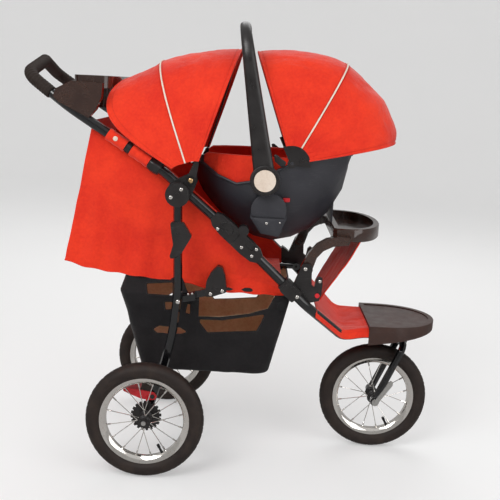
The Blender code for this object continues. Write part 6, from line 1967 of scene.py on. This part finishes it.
@dataclass
class FoldTrim:
    """The raised rim round each fold button and the ribbed latches, on both fold joints."""

    centre: tuple = (-0.001, 0.6315)
    along: tuple = (0.7547, -0.6561)
    across: tuple = (0.6561, 0.7547)
    face_y: float = 0.2293

    def at(self, points, side: int) -> np.ndarray:
        """Points on a joint's outer face from rows of (along, across, height over the face)."""
        points = np.asarray(points, float)
        flat = np.asarray(self.centre) + points[:, :1] * self.along + points[:, 1:2] * self.across
        return np.column_stack([flat[:, 0], side * (self.face_y + points[:, 2]), flat[:, 1]])

    def build(self) -> None:
        """The rims, and a ribbed cap for each latch that rides on it."""
        rims = Shape()
        turn = np.radians(np.linspace(0, 180, 26))
        arch = np.column_stack([-0.034 + 0.0180 * np.cos(turn), -0.001 + 0.0178 * np.sin(turn)])
        base = np.column_stack([np.linspace(-0.052, -0.016, 14)[1:-1], np.full(12, -0.0052)])
        ring = np.vstack([arch, base])
        for side in (-1, 1):
            path = self.at(np.column_stack([ring, np.full(len(ring), 0.0)]), side)
            rims.sweep(path, circle(0.0014, 8), up=(0, 1, 0), closed=True)
            ribs = Shape()
            for k in range(5):
                place = 0.0285 + 0.0036 * k
                path = self.at([(place, 0.0025 + 0.013 * t, -0.0010) for t in np.linspace(0, 1, 5)], side)
                ribs.sweep(path, circle(0.0009, 8), up=(0, 1, 0))
            name = "right" if side < 0 else "left"
            cap = ribs.made(f"fold_latch_ribs_{name}", Finishes.GREY_PLASTIC, angle=60)
            hung(cap, f"fold_latch_{name}", "dark_plastic")
        hung(rims.made("fold_button_rims", Finishes.GREY_PLASTIC, angle=60), "upper_frame", "dark_plastic")


@dataclass
class TubeDress:
    """The canopy's cloth sleeves on the upper tubes, their snaps and clamps, and small straps."""

    lines: FrameLines
    straight_y: float = 0.19
    inner: float = 0.0129
    up: tuple = (0, 1, 0.2)

    def stretch(self, x_from: float, x_to: float, side: int, count: int) -> np.ndarray:
        """The upper tube's middle line between two x on one side."""
        fine = even(self.lines.upper_half(), 1600)
        inside = (fine[:, 0] > x_from) & (fine[:, 0] < x_to) & (fine[:, 1] > self.straight_y)
        return even(fine[inside], count) * (1, side, 1)

    def build(self) -> None:
        """Red sleeves, dark clamps and the snaps."""
        red, dark, snaps = Shape(), Shape(), Shape()
        turn = np.arange(6) * TAU / 6 + 0.5
        hexagon = rounded(np.column_stack([0.0235 * np.cos(turn), 0.0200 * np.sin(turn)]), 0.006, 4)
        ring = circle(0.0130, len(hexagon))
        for side in (-1, 1):
            for low, high in ((-0.333, -0.287), (-0.274, -0.228)):
                path = self.stretch(low, high, side, 34)
                flare = 0.05 * np.abs(np.linspace(-1, 1, 34)) ** 10
                wave = 1 + 0.035 * np.sin(np.linspace(0, 5.2 * math.pi, 34)) + flare
                red.sleeve(path, circle(0.0156, 28), circle(self.inner, 28), up=self.up, scale=wave)
            path = self.stretch(-0.285, -0.276, side, 6)
            dark.sleeve(path, circle(0.0146, 24), circle(self.inner, 24), up=self.up)
            ends = [0.86, 0.97, 1.0, 1.0, 1.0, 0.97, 0.86]
            dark.sleeve(self.stretch(-0.226, -0.199, side, 7), hexagon, ring, up=self.up, scale=ends)
            snap = self.stretch(-0.314, -0.312, side, 3)[1]
            out = np.array([0.05, side * 1.0, 0.12])
            snaps.dome(snap + out / np.linalg.norm(out) * 0.0158, out, 0.0062, 0.0026)
        hung(red.made("canopy_tube_sleeves", Finishes.RED, angle=60), "upper_frame", "red_fabric")
        clamps = dark.made("canopy_tube_clamps", Finishes.GREY_PLASTIC, angle=50)
        hung(clamps, "upper_frame", "dark_plastic")
        hung(snaps.made("canopy_snaps", Finishes.PALE_PLASTIC, angle=40), "upper_frame", "pale_plastic")


# Studio


@dataclass
class Studio:
    """The pale room, its soft lamps and the camera where the photograph was taken."""

    place: tuple = (0.034, -2.33, 1.019)
    pitch: float = 11.2
    roll: float = 3.12
    lens: float = 61.2
    flat_reach: float = 6.0
    curve: float = 3.0
    wall_top: float = 6.0

    def camera(self) -> None:
        """The camera: it looks along +Y, tips down and leans a little."""
        tip, lean = math.radians(self.pitch), math.radians(self.roll)
        forward = Vector((0, math.cos(tip), -math.sin(tip)))
        right, up = Vector((1, 0, 0)), Vector((0, math.sin(tip), math.cos(tip)))
        leaned_right = right * math.cos(lean) + up * math.sin(lean)
        leaned_up = up * math.cos(lean) - right * math.sin(lean)
        turn = Matrix((leaned_right, leaned_up, -forward)).transposed().to_4x4()
        data = bpy.data.cameras.new("camera")
        data.sensor_width = 36.0
        data.lens = self.lens
        data.clip_end = 60.0
        camera = bpy.data.objects.new("camera", data)
        camera.matrix_world = Matrix.Translation(self.place) @ turn
        bpy.context.scene.collection.objects.link(camera)
        bpy.context.scene.camera = camera

    def lamp(self, name: str, place, target, size: float, power: float) -> None:
        """A soft square lamp.

        Args:
            name: Its name.
            place: Where it hangs.
            target: The point that it faces.
            size: Its side.
            power: Its power in watts.
        """
        data = bpy.data.lights.new(name, "AREA")
        data.size = size
        data.energy = power
        lamp = bpy.data.objects.new(name, data)
        aim = Vector(target) - Vector(place)
        lamp.matrix_world = Matrix.Translation(place) @ aim.to_track_quat("-Z", "Y").to_matrix().to_4x4()
        bpy.context.scene.collection.objects.link(lamp)

    def floor(self) -> None:
        """The floor with its backdrop: flat round the pram, then curving up all round."""
        turn = np.linspace(0, TAU, 96, endpoint=False)[None, :]
        lean = np.linspace(0.1, math.pi / 2, 14)
        flat = np.r_[0.0, np.linspace(0.3, self.flat_reach, 20)]
        full = self.flat_reach + self.curve
        out = np.r_[flat, self.flat_reach + self.curve * np.sin(lean), full][:, None]
        up = np.r_[0 * flat, self.curve * (1 - np.cos(lean)), self.wall_top][:, None]
        grid = np.stack([out * np.cos(turn), out * np.sin(turn), up + 0 * turn - 0.0004], axis=-1)
        made, wire = empty_material("pale floor")
        place = wire.node("ShaderNodeTexCoord").outputs["Object"]
        tone = wire.mix(wire.noise(place, 1.2, 2.0), (0.90, 0.90, 0.90, 1), (0.93, 0.93, 0.93, 1))
        matt = wire.node("ShaderNodeBsdfDiffuse", {"Color": tone})
        shown = wire.node("ShaderNodeEmission", {"Color": (1, 1, 1, 1), "Strength": 1.0})
        rays = wire.node("ShaderNodeLightPath").outputs
        straight = wire.maths("MAXIMUM", rays["Is Camera Ray"], rays["Is Glossy Ray"])
        seen = wire.maths("MULTIPLY", straight, 0.32)
        pale = wire.node("ShaderNodeMixShader", {0: seen, 1: matt.outputs[0], 2: shown.outputs[0]})
        dim = wire.node("ShaderNodeEmission", {"Color": (0.8, 0.76, 0.72, 1), "Strength": 0.16})
        mirrored = wire.maths("MULTIPLY", rays["Is Glossy Ray"], 0.62)
        both = wire.node("ShaderNodeMixShader", {0: mirrored, 1: pale.outputs[0], 2: dim.outputs[0]})
        wire.node("ShaderNodeOutputMaterial", {0: both.outputs[0]})
        mesh = bpy.data.meshes.new("studio_floor")
        shape = Shape().patch(grid, wrap_columns=True)
        mesh.from_pydata(np.vstack(shape.points).tolist(), [], np.vstack(shape.quads).tolist())
        smooth_faces(mesh)
        floor = bpy.data.objects.new("studio_floor", mesh)
        floor.data.materials.append(made)
        bpy.context.scene.collection.objects.link(floor)

    def build(self) -> None:
        """Sets the room's light, the view transform, the lamps, the floor and the camera."""
        world = bpy.data.worlds.new("room")
        world.use_nodes = True
        world.node_tree.nodes["Background"].inputs[0].default_value = (1.0, 0.99, 0.98, 1)
        world.node_tree.nodes["Background"].inputs[1].default_value = 0.55
        bpy.context.scene.world = world
        bpy.context.scene.view_settings.view_transform = "Standard"
        self.lamp("key lamp", (-1.4, -2.6, 3.0), (0, 0, 0.55), 1.8, 62.0)
        self.lamp("fill lamp", (2.4, -2.2, 1.8), (0, 0, 0.6), 2.2, 26.0)
        self.lamp("back lamp", (0.3, 2.6, 3.0), (0, 0, 0.6), 2.4, 34.0)
        self.floor()
        self.camera()


def dress_frame(frame: dict) -> None:
    """Gives every node of the frame its finish and smooth faces.
    """
    slots = {row["node"]: row["material_slot"] for row in frame["record"]["subparts"]}
    for name, node in frame["nodes"].items():
        finish = Finishes.SHELL_PLASTIC if name == "carrier_shell" else SLOT_FINISH[slots[name]]
        node.data.materials.clear()
        node.data.materials.append(finish.material())
        weld = node.modifiers.new("weld", "WELD")
        weld.merge_threshold = 0.00001
        split = node.modifiers.new("split", "EDGE_SPLIT")
        split.split_angle = math.radians(38)
        if node.data.attributes.get("custom_normal"):
            node.data.attributes.remove(node.data.attributes["custom_normal"])
        smooth_faces(node.data)


def main() -> None:
    """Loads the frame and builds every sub-assembly in order."""
    logging.basicConfig(level=logging.INFO, format="%(message)s")
    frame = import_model()
    Studio().build()
    dress_frame(frame)
    lines = FrameLines()
    for side, y in (("right", -0.270), ("left", 0.270)):
        Wheel(f"rear_{side}", f"rear_wheel_{side}", -0.213, y).build(f"rear_tyre_{side}", f"rear_rim_{side}")
    Wheel("front", "front_wheel", 0.4085, 0.0, flange_y=0.022).build("front_tyre", "front_rim")
    PushHandle(lines).build()
    pram_ribs = [(72, 0.347, 72, 0.347), (84, 0.331, 84, 0.331), (97, 0.316, 97, 0.316),
                 (110, 0.308, 109, 0.306), (122, 0.316, 114.5, 0.303), (133, 0.338, 119, 0.303),
                 (142, 0.358, 123, 0.303), (149.5, 0.372, 126.5, 0.302)]
    Canopy("pram_canopy", (-0.122, 0.771), pram_ribs, 0.2375, 0.62, 0.045, [72, 109, 126.5], "upper_frame",
           "canopy_bow", "canopy", piping_angle=109).build()
    carrier_ribs = [(110, 0.294), (99, 0.290), (88, 0.289), (76, 0.290), (65, 0.290), (53, 0.290),
                    (42, 0.291), (30, 0.294), (18, 0.2955), (12, 0.284)]
    Canopy("carrier_canopy", (0.128, 0.822), carrier_ribs, 0.1925, 0.66, 0.06, [12, 35, 62, 110], "carrier",
           "carrier_canopy_bow", "carrier_canopy", piping_angle=62, dip=0.005).build()
    skirt_hem = [(-0.447, 0.537), (-0.345, 0.5160), (-0.145, 0.497), (-0.085, 0.487), (-0.020, 0.4765),
                 (0.060, 0.4755), (0.131, 0.4750)]
    skirt_top = [(-0.374, 0.9040), (-0.300, 0.8700), (-0.191, 0.8030), (-0.060, 0.6960), (0.050, 0.6000),
                 (0.128, 0.5280)]
    Seat(skirt_top, skirt_hem).build()
    LegPanels().build()
    Basket().build()
    form = CarrierForm()
    liner = CarrierLiner(form)
    liner.build()
    Harness(liner).build()
    CarryHandle().build()
    CarrierTrim(form).build()
    Fasteners().build()
    FoldTrim().build()
    TubeDress(lines).build()


if __name__ == "__main__":
    main()
